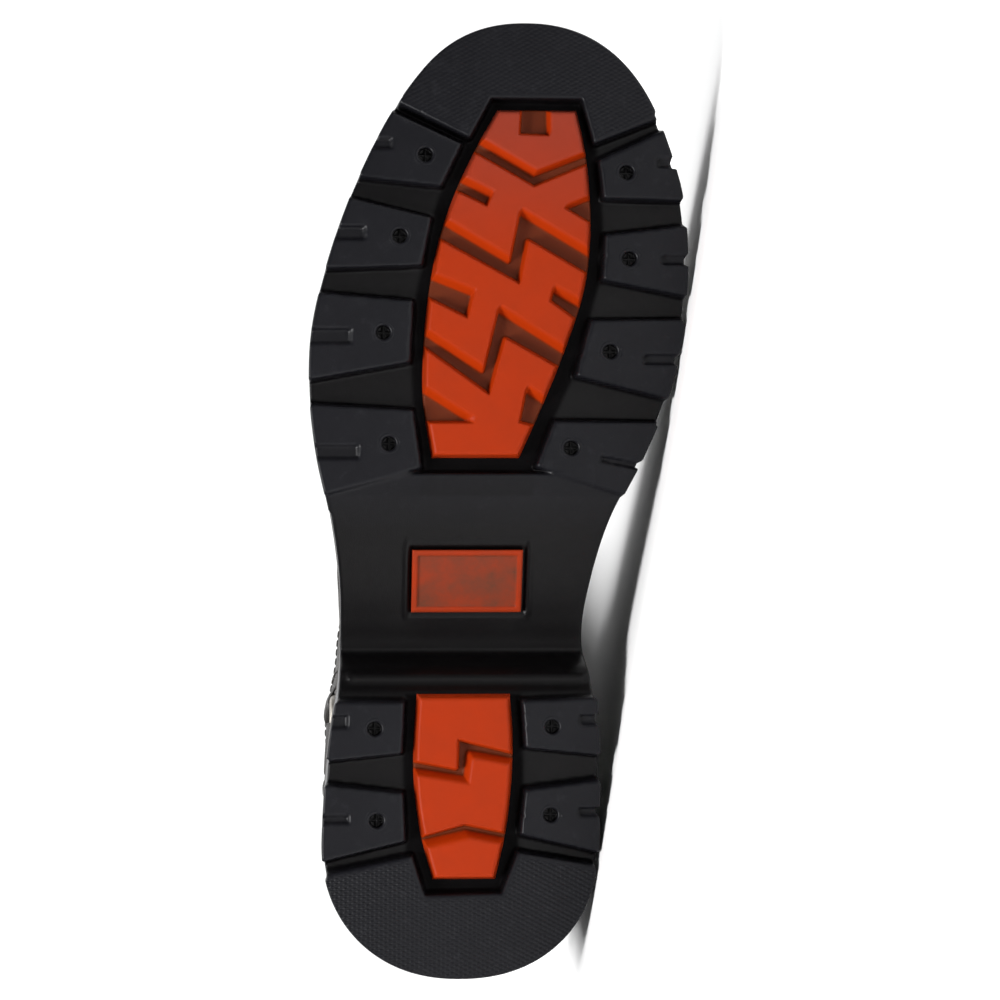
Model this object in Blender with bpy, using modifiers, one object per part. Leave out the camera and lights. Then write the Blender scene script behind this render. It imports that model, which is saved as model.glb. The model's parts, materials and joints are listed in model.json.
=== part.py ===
"""Harness motorcycle boot for the right foot, lying on its medial side.

The boot is modelled upright in millimetres, in its own frame: X runs from the back of the heel to the
toe, +Y is the medial side (the big toe's side), and Z runs up the leg from the tread plane.  At the end
an empty lays the whole boot down on the face of its hull that it would really come to rest on.
"""
import math
from collections import namedtuple

import bmesh
import bpy
import numpy as np
from mathutils import Matrix, Vector

MM = 0.001
OBJECT_NAME = "motorcycle_boot"

# Driving dimensions, in millimetres.
SOLE_LENGTH = 312.0
BOOT_HEIGHT = 300.0
LUG_DEPTH = 6.0
TOE_SPRING = 12.0
SPRING_START = 222.0
HEEL_ROUND = 45.0
TOE_ROUND = 46.0
CAP_FULLNESS = 2.2
BASE_INSET = 0.8
WELT_INSET = 0.6
WELT_HEIGHT = 3.4
FEATHER_INSET = 7.5
UPPER_WALL = 2.2
INSOLE_HEIGHT = 3.5
GAP = 0.3
SEAT_CLEARANCE = 0.5
EMBED = 1.0

# How finely the forms are cut into facets, and how near two points or stations may come.
CURVE_SAMPLES = 400
END_STEPS = 8
MIDDLE_STEPS = 24
CLOSEST_STATIONS = 0.5
MERGE_DISTANCE = 0.001

# The outsole's edge seen from below: station along the boot, lateral edge, medial edge.
Edge = namedtuple("Edge", "x lateral medial")
OUTLINE = [Edge(*row) for row in (
    (0, -45.0, 45.0),
    (50, -45.0, 45.2),
    (75, -43.2, 45.4),
    (95, -40.3, 44.0),
    (110, -39.6, 41.9),
    (130, -40.0, 44.2),
    (150, -42.7, 49.9),
    (170, -47.0, 60.0),
    (190, -49.2, 68.2),
    (210, -48.6, 72.7),
    (232, -43.6, 74.2),
    (255, -35.6, 72.6),
    (275, -26.8, 67.6),
    (292, -21.5, 65.2),
    (312, -20.0, 64.0),
)]

# Side view of the sole: the seat that welt, upper and insole stand on.
Level = namedtuple("Level", "x height")
SEAT = [Level(*row) for row in (
    (0, 45.0), (40, 43.0), (75, 40.0), (105, 34.0), (135, 24.0), (160, 16.5),
    (190, 13.0), (215, 12.5), (250, 14.3), (280, 18.2), (312, 24.6),
)]
# Side view of the underside between the treads: heel, stepped breast, rising waist, edge of the forefoot.
UNDERSIDE = [Level(*row) for row in (
    (0, 6.0), (91.0, 6.0), (94.2, 8.0), (95.2, 10.5), (99.8, 12.0), (100.6, 14.5), (104.8, 25.0),
    (110, 23.4), (118, 19.6), (128, 14.2), (138, 9.0), (148, 4.8), (157, 2.0), (164, 1.0), (165, 6.0),
)]

# Main lugs: side, where the outer edge starts and ends, and the two inner corners.
Lug = namedtuple("Lug", "name side outer_front outer_rear front_x front_y rear_x rear_y")
LUGS = [Lug(*row) for row in (
    ("lateral_1", "lateral", 283.4, 261.3, 271.4, 0.0, 258.0, -6.5),
    ("lateral_2", "lateral", 254.2, 230.8, 247.0, -10.0, 232.1, -13.0),
    ("lateral_3", "lateral", 222.7, 194.1, 219.8, -15.9, 200.6, -16.9),
    ("lateral_4", "lateral", 186.3, 156.8, 184.4, -15.9, 166.2, -13.3),
    ("medial_1", "medial", 277.5, 253.5, 266.2, 45.8, 254.2, 47.1),
    ("medial_2", "medial", 245.1, 221.4, 241.5, 47.7, 227.5, 46.7),
    ("medial_3", "medial", 213.9, 187.9, 213.6, 42.8, 196.1, 38.0),
    ("medial_4", "medial", 180.2, 156.5, 180.8, 30.8, 166.5, 25.0),
    ("heel_lateral_1", "lateral", 89.9, 70.8, 89.6, -18.8, 73.7, -19.5),
    ("heel_lateral_2", "lateral", 63.3, 37.7, 60.0, -19.2, 45.1, -18.5),
    ("heel_medial_1", "medial", 91.0, 72.4, 89.9, 20.4, 75.3, 21.4),
    ("heel_medial_2", "medial", 64.6, 40.3, 61.0, 21.4, 47.1, 19.8),
)]
LUG_EDGE_STEPS = 4
# Toe pad and heel pad: the outer edge runs round the end of the sole, the rest is a window for the insert.
TOE_PAD_LATERAL_X = 287.0
TOE_PAD_MEDIAL_X = 282.0
TOE_PAD_WINDOW = ((272.3, 44.1), (286.9, 40.3), (287.2, 10.1), (274.0, 2.9))
HEEL_PAD_LATERAL_X = 32.8
HEEL_PAD_MEDIAL_X = 35.4
HEEL_PAD_WINDOW = ((40.6, 18.8), (27.3, 13.5), (26.9, -12.0), (39.6, -16.2))
PAD_STEPS = 9

# Coloured inserts: lateral and medial edge along the boot, and the tread cut into their faces.
FOREFOOT_INSERT = [Edge(*row) for row in (
    (169.2, -9.4, 19.2), (188, -12.2, 27.6), (206, -12.0, 34.8), (225, -10.0, 40.7),
    (240, -7.0, 42.5), (256, -1.5, 42.4), (272, 6.1, 40.7), (283.2, 12.4, 38.3),
)]
HEEL_INSERT = [Edge(*row) for row in (
    (32, -9.1, 11.4), (47, -13.0, 14.7), (64, -15.2, 16.7), (78, -15.2, 17.1), (92.3, -14.2, 16.2),
)]
FOREFOOT_GROOVES = {
    "toe_notch": ((285.0, 19.5), (285.0, 29.3), (274.0, 29.4), (274.4, 18.8)),
    "chevron": ((274.5, 3.0), (262.0, 24.0), (269.5, 43.0), (265.0, 43.0), (257.1, 24.0), (270.5, 0.5)),
    "lateral_slot_1": ((262.0, -4.0), (254.5, 10.7), (250.6, 8.8), (257.0, -4.5)),
    "medial_wedge": ((250.6, 33.1), (255.5, 45.0), (243.5, 45.0)),
    "zigzag_front": (
        (248.0, -9.0), (233.4, 15.4), (249.6, 18.8), (233.5, 45.5),
        (226.3, 45.0), (239.6, 22.1), (225.3, 19.3), (241.4, -10.0)),
    "lateral_slot_2": ((229.3, -13.0), (222.4, 4.5), (214.2, 2.3), (222.0, -13.6)),
    "medial_slot": ((224.3, 29.5), (217.0, 42.7), (211.5, 40.4), (220.1, 28.6)),
    "zigzag_rear": (
        (211.9, -14.8), (197.7, 6.8), (217.8, 11.7), (201.4, 37.7),
        (195.0, 37.5), (207.7, 14.6), (189.2, 9.4), (206.8, -15.3)),
    "lateral_wedge": ((193.0, -15.0), (180.2, 4.9), (180.2, -15.0)),
    "medial_notch": ((191.8, 20.8), (185.6, 30.2), (178.4, 26.6), (180.5, 18.5)),
}
HEEL_GROOVES = {
    "heel_zigzag": (
        (71.8, -18.5), (68.5, -1.6), (78.2, -1.3), (73.1, 19.5),
        (69.9, 19.5), (73.0, 2.9), (64.6, 1.8), (67.9, -18.5)),
    "heel_chevron": ((45.8, -15.7), (50.6, 1.3), (47.1, 17.9), (43.9, 17.6), (47.1, 1.3), (43.4, -15.3)),
}
INSERT_PROUD_GAP = 0.4
INSERT_STEPS_PER_ROW = 3
GROOVE_DEPTH = 4.2

# Plate let into the waist: its two ends along the boot, its two edges, rim and recess.
PLATE_REAR, PLATE_FRONT = 118.5, 139.2
PLATE_LATERAL, PLATE_MEDIAL = -15.5, 20.7
PLATE_MARGIN = 1.1
PLATE_POCKET = 1.5
PLATE_THICKNESS = 2.3
PLATE_RIM = 1.6
PLATE_RECESS = 0.8
PLATE_STEPS = 5

# Upper, section by section up the leg: back and front of the boot in side view, how far the rounding of
# the back and of the front reaches in, and the half widths towards which the foot's own edges blend.  The
# soft shaft sags towards its medial side, which lies on the floor.
Section = namedtuple("Section", "z back front back_round front_round lateral medial")
SECTIONS = [Section(*row) for row in (
    (10, 7.5, 304.5, 37.5, 38.5, 38.0, 40.0),
    (28, 7.5, 304.5, 37.5, 38.5, 38.0, 40.0),
    (36, 7.5, 305.4, 37.5, 40.0, 38.0, 40.0),
    (45, 7.5, 304.6, 37.5, 43.0, 38.0, 40.0),
    (49, 7.5, 303.2, 37.5, 45.0, 38.0, 40.0),
    (56, 6.2, 298.6, 38.0, 51.0, 38.0, 40.0),
    (63, 4.8, 289.5, 38.0, 61.0, 37.5, 39.5),
    (70, 4.2, 273.0, 39.0, 74.0, 37.0, 39.0),
    (77, 4.4, 250.0, 40.0, 83.0, 37.0, 39.0),
    (85, 5.1, 229.0, 41.0, 86.0, 37.0, 39.0),
    (95, 6.6, 208.5, 42.5, 84.0, 37.0, 39.0),
    (108, 9.4, 186.5, 45.0, 79.0, 37.5, 39.5),
    (123, 12.6, 166.5, 49.0, 73.0, 38.5, 40.5),
    (140, 15.0, 150.5, 53.0, 67.0, 40.0, 42.0),
    (160, 16.0, 139.5, 57.0, 62.5, 40.6, 43.5),
    (185, 15.0, 133.0, 59.0, 59.0, 40.9, 46.0),
    (220, 11.5, 131.5, 60.0, 60.0, 41.0, 49.5),
    (260, 7.0, 134.0, 63.0, 63.5, 41.0, 53.0),
    (300, 3.0, 138.0, 67.0, 68.0, 40.6, 56.0),
)]
# Height over the seat at which the foot's edges have become the leg's, at the leg and out at the toes.
BLEND_AT_LEG, BLEND_AT_TOES = 100.0, 165.0
LEG_END_X, TOES_START_X = 150.0, 235.0
# Rings of the wall: height at the front and at the back, and how closely they follow each other there.
Ring = namedtuple("Ring", "front back closeness")
RINGS = [Ring(*row) for row in (
    (23, 45, 1.0), (60, 76, 1.0), (80, 102, 1.0), (108, 130, 0.9), (150, 166, 0.7), (200, 207, 0.45),
    (300, 300, 0.4),
)]
UPPER_RINGS = 27
AROUND = 60
SAG_FADE = 3

# Harness: a ring on each side, joined by straps round the heel, over the instep and down to the welt.
RING_X, RING_Z = 69.5, 92.0
RING_RADIUS = 16.0
RING_WIRE = 2.2
RING_LIFT = 3.4
RING_SEGMENTS, WIRE_SEGMENTS = 32, 8
STRAP_THICKNESS = 2.6
STRAP_SEAT = 0.6
STRAP_WIDTH = 20.0
STRAP_STEPS = 28
HEEL_STRAP_SLOPE = 0.10
HEEL_STRAP_SLACK = 2.0
INSTEP_STRAP_SLOPE = 0.42
ARCH_STRAP_STEPS = 8
# Where to look along the boot for the straps' crossings of its back and front.
BACK_SEARCH = (-20.0, 40.0)
FRONT_SEARCH = (110.0, 230.0)

# Least sideways part of the normal of a hull face that counts as the boot's medial side.
MEDIAL_FACING = 0.9


def smooth(table, column, at):
    """Smooth curve through one column of a table against its first column: cubic, slopes by differences."""
    knots = np.array([row[0] for row in table], dtype=float)
    values = np.array([getattr(row, column) for row in table], dtype=float)
    slopes = np.gradient(values, knots)
    at = np.clip(np.asarray(at, dtype=float), knots[0], knots[-1])
    cell = np.clip(np.searchsorted(knots, at, side="right") - 1, 0, len(knots) - 2)
    span = knots[cell + 1] - knots[cell]
    t = (at - knots[cell]) / span
    rise = t * t * (3.0 - 2.0 * t)
    bend_in = t * (1.0 - t) ** 2 * span
    bend_out = t * t * (1.0 - t) * span
    return (values[cell] * (1.0 - rise) + values[cell + 1] * rise
            + slopes[cell] * bend_in - slopes[cell + 1] * bend_out)


def end_cap(distance, length):
    """How wide a rounded end is, from 0 at its tip to 1 where the rounding ends: a superellipse quarter."""
    t = np.clip(1.0 - np.asarray(distance, dtype=float) / length, 0.0, 1.0)
    return (1.0 - t ** CAP_FULLNESS) ** (1.0 / CAP_FULLNESS)


def plan_edges(x, inset):
    """Lateral and medial edge of the sole's outline at x, drawn in by an inset."""
    lateral = smooth(OUTLINE, "lateral", x) + inset
    medial = smooth(OUTLINE, "medial", x) - inset
    centre = (lateral + medial) / 2.0
    cap = end_cap(x - inset, HEEL_ROUND - inset) * end_cap(SOLE_LENGTH - inset - x, TOE_ROUND - inset)
    return centre + (lateral - centre) * cap, centre + (medial - centre) * cap


def plan_stations(inset):
    """Stations along the sole: close together round the heel and toe, even between, and at every bend."""
    quarter = 1.0 - np.cos(np.linspace(0.0, math.pi / 2.0, END_STEPS))
    heel = inset + (HEEL_ROUND - inset) * quarter
    toe = SOLE_LENGTH - inset - (TOE_ROUND - inset) * quarter
    middle = np.linspace(HEEL_ROUND, SOLE_LENGTH - TOE_ROUND, MIDDLE_STEPS)
    bends = [row.x for row in UNDERSIDE if heel[-1] < row.x]
    stations = np.unique(np.round(np.concatenate([heel, middle, toe, bends]), 3))
    return stations[np.concatenate([[True], np.diff(stations) > CLOSEST_STATIONS])]


def tread_level(x):
    """Height of the tread faces: flat from the heel to the ball, then curving up with the toe spring."""
    past_ball = np.clip((np.asarray(x, dtype=float) - SPRING_START) / (SOLE_LENGTH - SPRING_START), 0.0, None)
    return TOE_SPRING * past_ball ** 2


def groove_level(x):
    """Height of the floor between the lugs."""
    return tread_level(x) + LUG_DEPTH


def underside_level(x):
    """Height of the sole's underside without its lugs, from heel to toe."""
    knots = [row.x for row in UNDERSIDE]
    heights = [row.height for row in UNDERSIDE]
    return np.interp(x, knots, heights) + tread_level(x)


def seat_level(x):
    """Height of the seat on top of the sole."""
    return smooth(SEAT, "height", x)


def upper_edges(x, z, offset=0.0):
    """Lateral and medial y of the upper's outer face at (x, z), or of the same form grown by an offset.

    The foot's edges come from the sole's outline and blend with height into the leg's half widths; both are
    then rounded off towards the back and the front of the boot in side view.
    """
    x, z = np.broadcast_arrays(np.asarray(x, dtype=float), np.asarray(z, dtype=float))
    reach = np.clip((x - LEG_END_X) / (TOES_START_X - LEG_END_X), 0.0, 1.0)
    blend_height = BLEND_AT_LEG + (BLEND_AT_TOES - BLEND_AT_LEG) * reach
    t = np.clip((z - seat_level(x)) / blend_height, 0.0, 1.0)
    blend = t * t * (3.0 - 2.0 * t)
    foot_lateral = smooth(OUTLINE, "lateral", x) + FEATHER_INSET
    foot_medial = smooth(OUTLINE, "medial", x) - FEATHER_INSET
    lateral = foot_lateral * (1.0 - blend) - smooth(SECTIONS, "lateral", z) * blend - offset
    medial = foot_medial * (1.0 - blend) + smooth(SECTIONS, "medial", z) * blend + offset
    centre = (lateral + medial) / 2.0
    from_back = x - smooth(SECTIONS, "back", z) + offset
    from_front = smooth(SECTIONS, "front", z) + offset - x
    cap = (end_cap(from_back, smooth(SECTIONS, "back_round", z) + offset)
           * end_cap(from_front, smooth(SECTIONS, "front_round", z) + offset))
    return centre + (lateral - centre) * cap, centre + (medial - centre) * cap


def upper_grid(rings, around):
    """Points of the upper's outer face: rings from the seat to the collar, each once round the boot."""
    heights = np.linspace(seat_level(SOLE_LENGTH - FEATHER_INSET) + GAP, BOOT_HEIGHT, CURVE_SAMPLES)
    fronts = smooth(SECTIONS, "front", heights)
    steps = np.hypot(np.diff(fronts), np.diff(heights)) * smooth(RINGS, "closeness", heights[1:])
    travel = np.concatenate([[0.0], np.cumsum(steps)])
    level = np.linspace(0.0, 1.0, rings)[:, None]
    front_z = np.interp(level * travel[-1], travel, heights)
    back_z = smooth(RINGS, "back", front_z)
    back_z[0] = seat_level(FEATHER_INSET) + GAP
    back_x = smooth(SECTIONS, "back", back_z)
    front_x = smooth(SECTIONS, "front", front_z)
    turn = np.linspace(0.0, 2.0 * math.pi, around, endpoint=False)[None, :]
    along = (1.0 - np.cos(turn)) / 2.0
    x = back_x + (front_x - back_x) * along
    chord = back_z[0] + (front_z[0] - back_z[0]) * along
    sag = seat_level(x) + GAP - chord
    z = back_z + (front_z - back_z) * along + sag * (1.0 - level) ** SAG_FADE
    lateral, medial = upper_edges(x, z)
    y = np.where(np.sin(turn) > 0.0, lateral, medial)
    return np.stack([x, y, z], axis=-1)


def material(name, colour, roughness, metallic=0.0):
    """Principled surface with a plain colour."""
    surface = bpy.data.materials.new(name)
    surface.use_nodes = True
    shader = surface.node_tree.nodes["Principled BSDF"]
    shader.inputs["Base Color"].default_value = (*colour, 1.0)
    shader.inputs["Roughness"].default_value = roughness
    shader.inputs["Metallic"].default_value = metallic
    surface.diffuse_color = (*colour, 1.0)
    return surface


def add_object(name, mesh, surface=None):
    """Puts a mesh under the boot's empty: a part if it has a surface, otherwise a hidden cutter."""
    piece = bpy.data.objects.new(name, mesh)
    piece.parent = boot
    if surface is None:
        cutters.objects.link(piece)
        piece.hide_render = True
        piece.display_type = "WIRE"
    else:
        parts.objects.link(piece)
        mesh.materials.append(surface)
    return piece


def finish_mesh(name, bm):
    """Merges coincident points, turns the faces outwards and scales millimetres to metres."""
    bmesh.ops.remove_doubles(bm, verts=bm.verts, dist=MERGE_DISTANCE)
    bmesh.ops.recalc_face_normals(bm, faces=bm.faces)
    bmesh.ops.scale(bm, vec=(MM, MM, MM), verts=bm.verts)
    mesh = bpy.data.meshes.new(name)
    bm.to_mesh(mesh)
    bm.free()
    return mesh


def loft(name, sections, closed=False):
    """Solid through a row of like sections, an array of sections x corners x 3; a closed row has no ends."""
    count, corners, _ = sections.shape
    bm = bmesh.new()
    rows = [[bm.verts.new(point) for point in section] for section in sections.tolist()]
    for here in range(count if closed else count - 1):
        first, second = rows[here], rows[(here + 1) % count]
        for k in range(corners):
            after = (k + 1) % corners
            bm.faces.new((first[k], first[after], second[after], second[k]))
    if not closed:
        bm.faces.new(rows[0][::-1])
        bm.faces.new(rows[-1])
    return finish_mesh(name, bm)


def ladder(name, x, edges, low, high):
    """Loft along the boot whose rungs run straight across, between two edges and two heights."""
    lateral, medial = edges
    corners = [(x, lateral, low), (x, medial, low), (x, medial, high), (x, lateral, high)]
    return loft(name, np.stack([np.stack(corner, axis=-1) for corner in corners], axis=1))


def block_mesh(bm, outline, low, high):
    """Adds a block to bm: a flat outline of (x, y) points, raised from low(x) to high(x)."""
    loop = [bm.verts.new((x, y, 0.0)) for x, y in outline]
    face = bm.faces.new(loop)
    flat = bmesh.ops.triangulate(bm, faces=[face])["faces"]
    raised = bmesh.ops.extrude_face_region(bm, geom=flat, use_keep_orig=True)["geom"]
    for vert in raised:
        if isinstance(vert, bmesh.types.BMVert):
            vert.co.z = float(high(vert.co.x))
    for vert in loop:
        vert.co.z = float(low(vert.co.x))


def combine(target, cutter, operation, solver="EXACT"):
    """Boolean of a part with a cutter."""
    modifier = target.modifiers.new(cutter.name, "BOOLEAN")
    modifier.operation = operation
    modifier.solver = solver
    modifier.object = cutter


def lug_outline(lug):
    """Corner points of a lug: along the sole's edge, then across its two inner corners."""
    x = np.linspace(lug.outer_front, lug.outer_rear, LUG_EDGE_STEPS)
    lateral, medial = plan_edges(x, 0.0)
    edge = lateral if lug.side == "lateral" else medial
    return [*zip(x, edge), (lug.rear_x, lug.rear_y), (lug.front_x, lug.front_y)]


def pad_outline(tip, lateral_x, medial_x, window):
    """Outline of the toe or heel pad: round the end of the sole, then back along the insert's window."""
    swing = np.sin(np.linspace(0.0, math.pi / 2.0, PAD_STEPS))
    lateral_run = lateral_x + (tip - lateral_x) * swing
    medial_run = (medial_x + (tip - medial_x) * swing)[-2::-1]
    lateral, _ = plan_edges(lateral_run, 0.0)
    _, medial = plan_edges(medial_run, 0.0)
    return [*zip(lateral_run, lateral), *zip(medial_run, medial), *window]


def make_outsole():
    """Unit sole of black rubber: base, heel and waist in one, with the main lugs and the two pads."""
    x = plan_stations(BASE_INSET)
    mesh = ladder("outsole", x, plan_edges(x, BASE_INSET), underside_level(x), seat_level(x))
    outsole = add_object("outsole", mesh, material("black_rubber", (0.022, 0.021, 0.024), 0.55))
    outlines = [lug_outline(lug) for lug in LUGS]
    outlines.append(pad_outline(SOLE_LENGTH, TOE_PAD_LATERAL_X, TOE_PAD_MEDIAL_X, TOE_PAD_WINDOW))
    outlines.append(pad_outline(0.0, HEEL_PAD_LATERAL_X, HEEL_PAD_MEDIAL_X, HEEL_PAD_WINDOW))
    bm = bmesh.new()
    for outline in outlines:
        block_mesh(bm, outline, tread_level, lambda at: groove_level(at) + EMBED)
    combine(outsole, add_object("tread_blocks", finish_mesh("tread_blocks", bm)), "UNION")
    pocket_x = np.linspace(PLATE_REAR - PLATE_MARGIN, PLATE_FRONT + PLATE_MARGIN, PLATE_STEPS)
    pocket_edges = (np.full(PLATE_STEPS, PLATE_LATERAL - PLATE_MARGIN),
                    np.full(PLATE_STEPS, PLATE_MEDIAL + PLATE_MARGIN))
    pocket = ladder("plate_pocket", pocket_x, pocket_edges,
                    np.full(PLATE_STEPS, -EMBED), underside_level(pocket_x) + PLATE_POCKET)
    combine(outsole, add_object("plate_pocket", pocket), "DIFFERENCE")


def make_insert(name, table, grooves, surface):
    """Coloured tread insert on the groove floor, its edges from a table, with its tread cut into it."""
    x = np.linspace(table[0].x, table[-1].x, INSERT_STEPS_PER_ROW * len(table))
    edges = smooth(table, "lateral", x), smooth(table, "medial", x)
    mesh = ladder(name, x, edges, tread_level(x) + INSERT_PROUD_GAP, groove_level(x) - GAP)
    insert = add_object(name, mesh, surface)
    bm = bmesh.new()
    for outline in grooves.values():
        block_mesh(bm, outline, lambda at: tread_level(at) - EMBED, lambda at: tread_level(at) + GROOVE_DEPTH)
    cutter = add_object(name + "_grooves", finish_mesh(name + "_grooves", bm))
    combine(insert, cutter, "DIFFERENCE", solver="MANIFOLD")


def make_waist_plate(surface):
    """Plate in its pocket in the waist, following the slope there, with a rim round a shallow recess."""
    x = np.linspace(PLATE_REAR, PLATE_FRONT, PLATE_STEPS)
    edges = np.full(PLATE_STEPS, PLATE_LATERAL), np.full(PLATE_STEPS, PLATE_MEDIAL)
    top = underside_level(x) + PLATE_POCKET - GAP
    plate = add_object("waist_plate", ladder("waist_plate", x, edges, top - PLATE_THICKNESS, top), surface)
    x = np.linspace(PLATE_REAR + PLATE_RIM, PLATE_FRONT - PLATE_RIM, PLATE_STEPS)
    edges = (np.full(PLATE_STEPS, PLATE_LATERAL + PLATE_RIM),
             np.full(PLATE_STEPS, PLATE_MEDIAL - PLATE_RIM))
    face = underside_level(x) + PLATE_POCKET - GAP - PLATE_THICKNESS
    recess = ladder("plate_recess", x, edges, face - EMBED, face + PLATE_RECESS)
    combine(plate, add_object("plate_recess", recess), "DIFFERENCE")


def make_welt():
    """Strip round the boot on the edge of the sole, with the upper standing inside it."""
    turn = np.linspace(0.0, 2.0 * math.pi, AROUND, endpoint=False)
    along = (1.0 - np.cos(turn)) / 2.0

    def ring(inset):
        x = inset + (SOLE_LENGTH - 2.0 * inset) * along
        lateral, medial = plan_edges(x, inset)
        return x, np.where(np.sin(turn) > 0.0, lateral, medial), seat_level(x) + GAP

    outer_x, outer_y, outer_z = ring(WELT_INSET)
    inner_x, inner_y, inner_z = ring(FEATHER_INSET - SEAT_CLEARANCE)
    sections = np.stack([
        np.stack([outer_x, outer_y, outer_z], axis=-1),
        np.stack([inner_x, inner_y, inner_z], axis=-1),
        np.stack([inner_x, inner_y, inner_z + WELT_HEIGHT], axis=-1),
        np.stack([outer_x, outer_y, outer_z + WELT_HEIGHT], axis=-1),
    ], axis=1)
    surface = material("welt_leather", (0.035, 0.031, 0.028), 0.6)
    add_object("welt", loft("welt", sections, closed=True), surface)


def make_insole():
    """Insole inside the foot of the upper, on the sole's seat."""
    inset = FEATHER_INSET + UPPER_WALL + 2.0 * SEAT_CLEARANCE
    x = plan_stations(inset)
    mesh = ladder("insole", x, plan_edges(x, inset), seat_level(x) + GAP, seat_level(x) + INSOLE_HEIGHT)
    add_object("insole", mesh, material("insole_leather", (0.32, 0.22, 0.14), 0.8))


def make_upper(surface):
    """Foot and shaft in one hollow leather wall, open at the collar and underneath."""
    grid = upper_grid(UPPER_RINGS, AROUND)
    bm = bmesh.new()
    rings = [[bm.verts.new(point) for point in ring] for ring in grid.tolist()]
    for low, high in zip(rings[:-1], rings[1:]):
        for k in range(AROUND):
            after = (k + 1) % AROUND
            bm.faces.new((low[k], high[k], high[after], low[after]))
    upper = add_object("upper", finish_mesh("upper", bm), surface)
    upper.data.shade_smooth()
    wall = upper.modifiers.new("wall", "SOLIDIFY")
    wall.thickness = UPPER_WALL * MM
    wall.offset = -1.0
    wall.use_even_offset = True


def strap_sections(x_at, z_at, steps, slack=0.0):
    """Sections of a strap, each with its edges and middle inside and outside.

    x_at and z_at place a line of the strap on the upper grown by an offset; edge runs from -1 to 1 across.
    Slack is how far the strap stands off the upper, half way between its rings and its middle.
    """
    inside, outside = STRAP_SEAT, STRAP_SEAT + STRAP_THICKNESS
    corners = []
    for offset, edge in ((inside, -1.0), (inside, 0.0), (inside, 1.0),
                         (outside, 1.0), (outside, 0.0), (outside, -1.0)):
        swing = np.linspace(-math.pi / 2.0, math.pi / 2.0, steps)
        x = x_at(swing, offset, edge)
        z = z_at(x, edge)
        way = 1.0 - np.cos(swing)
        bow = 1.0 - (2.0 * way - 1.0) ** 2
        lateral, medial = upper_edges(x, z, offset + slack * bow)
        corners.append(np.stack([x, np.where(swing < 0.0, lateral, medial), z], axis=-1))
    return np.stack(corners, axis=1)


def crossing(column, z_at, offset, edge, search):
    """Where a strap's edge crosses the back or front of the upper in side view."""
    x = np.linspace(*search, CURVE_SAMPLES)
    past = x - smooth(SECTIONS, column, z_at(x, edge)) - offset
    return np.interp(0.0, past, x)


def make_heel_strap(surface):
    """Strap from ring to ring round the back of the heel."""
    start = RING_X - RING_RADIUS - RING_WIRE - STRAP_SEAT

    def z_at(x, edge):
        return RING_Z + HEEL_STRAP_SLOPE * (x - RING_X) + edge * STRAP_WIDTH / 2.0

    def x_at(swing, offset, edge):
        back = crossing("back", z_at, -offset, edge, BACK_SEARCH)
        return back + (start - back) * (1.0 - np.cos(swing))

    sections = strap_sections(x_at, z_at, STRAP_STEPS, HEEL_STRAP_SLACK)
    add_object("heel_strap", loft("heel_strap", sections), surface)


def make_instep_strap(surface):
    """Strap from ring to ring over the instep."""
    start = RING_X + RING_RADIUS + RING_WIRE + STRAP_SEAT

    def z_at(x, edge):
        return RING_Z + INSTEP_STRAP_SLOPE * (x - RING_X) + edge * STRAP_WIDTH / 2.0

    def x_at(swing, offset, edge):
        front = crossing("front", z_at, offset, edge, FRONT_SEARCH)
        return front + (start - front) * (1.0 - np.cos(swing))

    add_object("instep_strap", loft("instep_strap", strap_sections(x_at, z_at, STRAP_STEPS)), surface)


def make_arch_strap(side, surface):
    """Strap on one side from its ring down to the welt."""
    half = STRAP_WIDTH / 2.0
    bottom = seat_level(RING_X - half) + WELT_HEIGHT + 2.0 * GAP
    z = np.linspace(RING_Z - RING_RADIUS - RING_WIRE - STRAP_SEAT, bottom, ARCH_STRAP_STEPS)
    corners = []
    for offset, x in ((STRAP_SEAT, RING_X - half), (STRAP_SEAT, RING_X + half),
                      (STRAP_SEAT + STRAP_THICKNESS, RING_X + half),
                      (STRAP_SEAT + STRAP_THICKNESS, RING_X - half)):
        lateral, medial = upper_edges(np.full_like(z, x), z, offset)
        corners.append(np.stack([np.full_like(z, x), lateral if side == "lateral" else medial, z], axis=-1))
    name = "arch_strap_" + side
    add_object(name, loft(name, np.stack(corners, axis=1)), surface)


def make_ring(side, surface):
    """Steel ring lying flat on the ankle, square to the upper's face there."""
    step = 1.0
    x = np.array([RING_X, RING_X + step, RING_X])
    z = np.array([RING_Z, RING_Z, RING_Z + step])
    lateral, medial = upper_edges(x, z)
    y = lateral if side == "lateral" else medial
    outward = -1.0 if side == "lateral" else 1.0
    normal = Vector((-(y[1] - y[0]) / step, 1.0, -(y[2] - y[0]) / step)).normalized() * outward
    centre = Vector((RING_X, y[0], RING_Z)) + normal * RING_LIFT
    bpy.ops.mesh.primitive_torus_add(
        major_radius=RING_RADIUS * MM, minor_radius=RING_WIRE * MM,
        major_segments=RING_SEGMENTS, minor_segments=WIRE_SEGMENTS)
    ring = bpy.context.object
    ring.name = "ring_" + side
    for home in list(ring.users_collection):
        home.objects.unlink(ring)
    parts.objects.link(ring)
    ring.parent = boot
    ring.matrix_local = Matrix.Translation(centre * MM) @ normal.to_track_quat("Z", "Y").to_matrix().to_4x4()
    ring.data.materials.append(surface)
    ring.data.shade_smooth()


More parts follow.
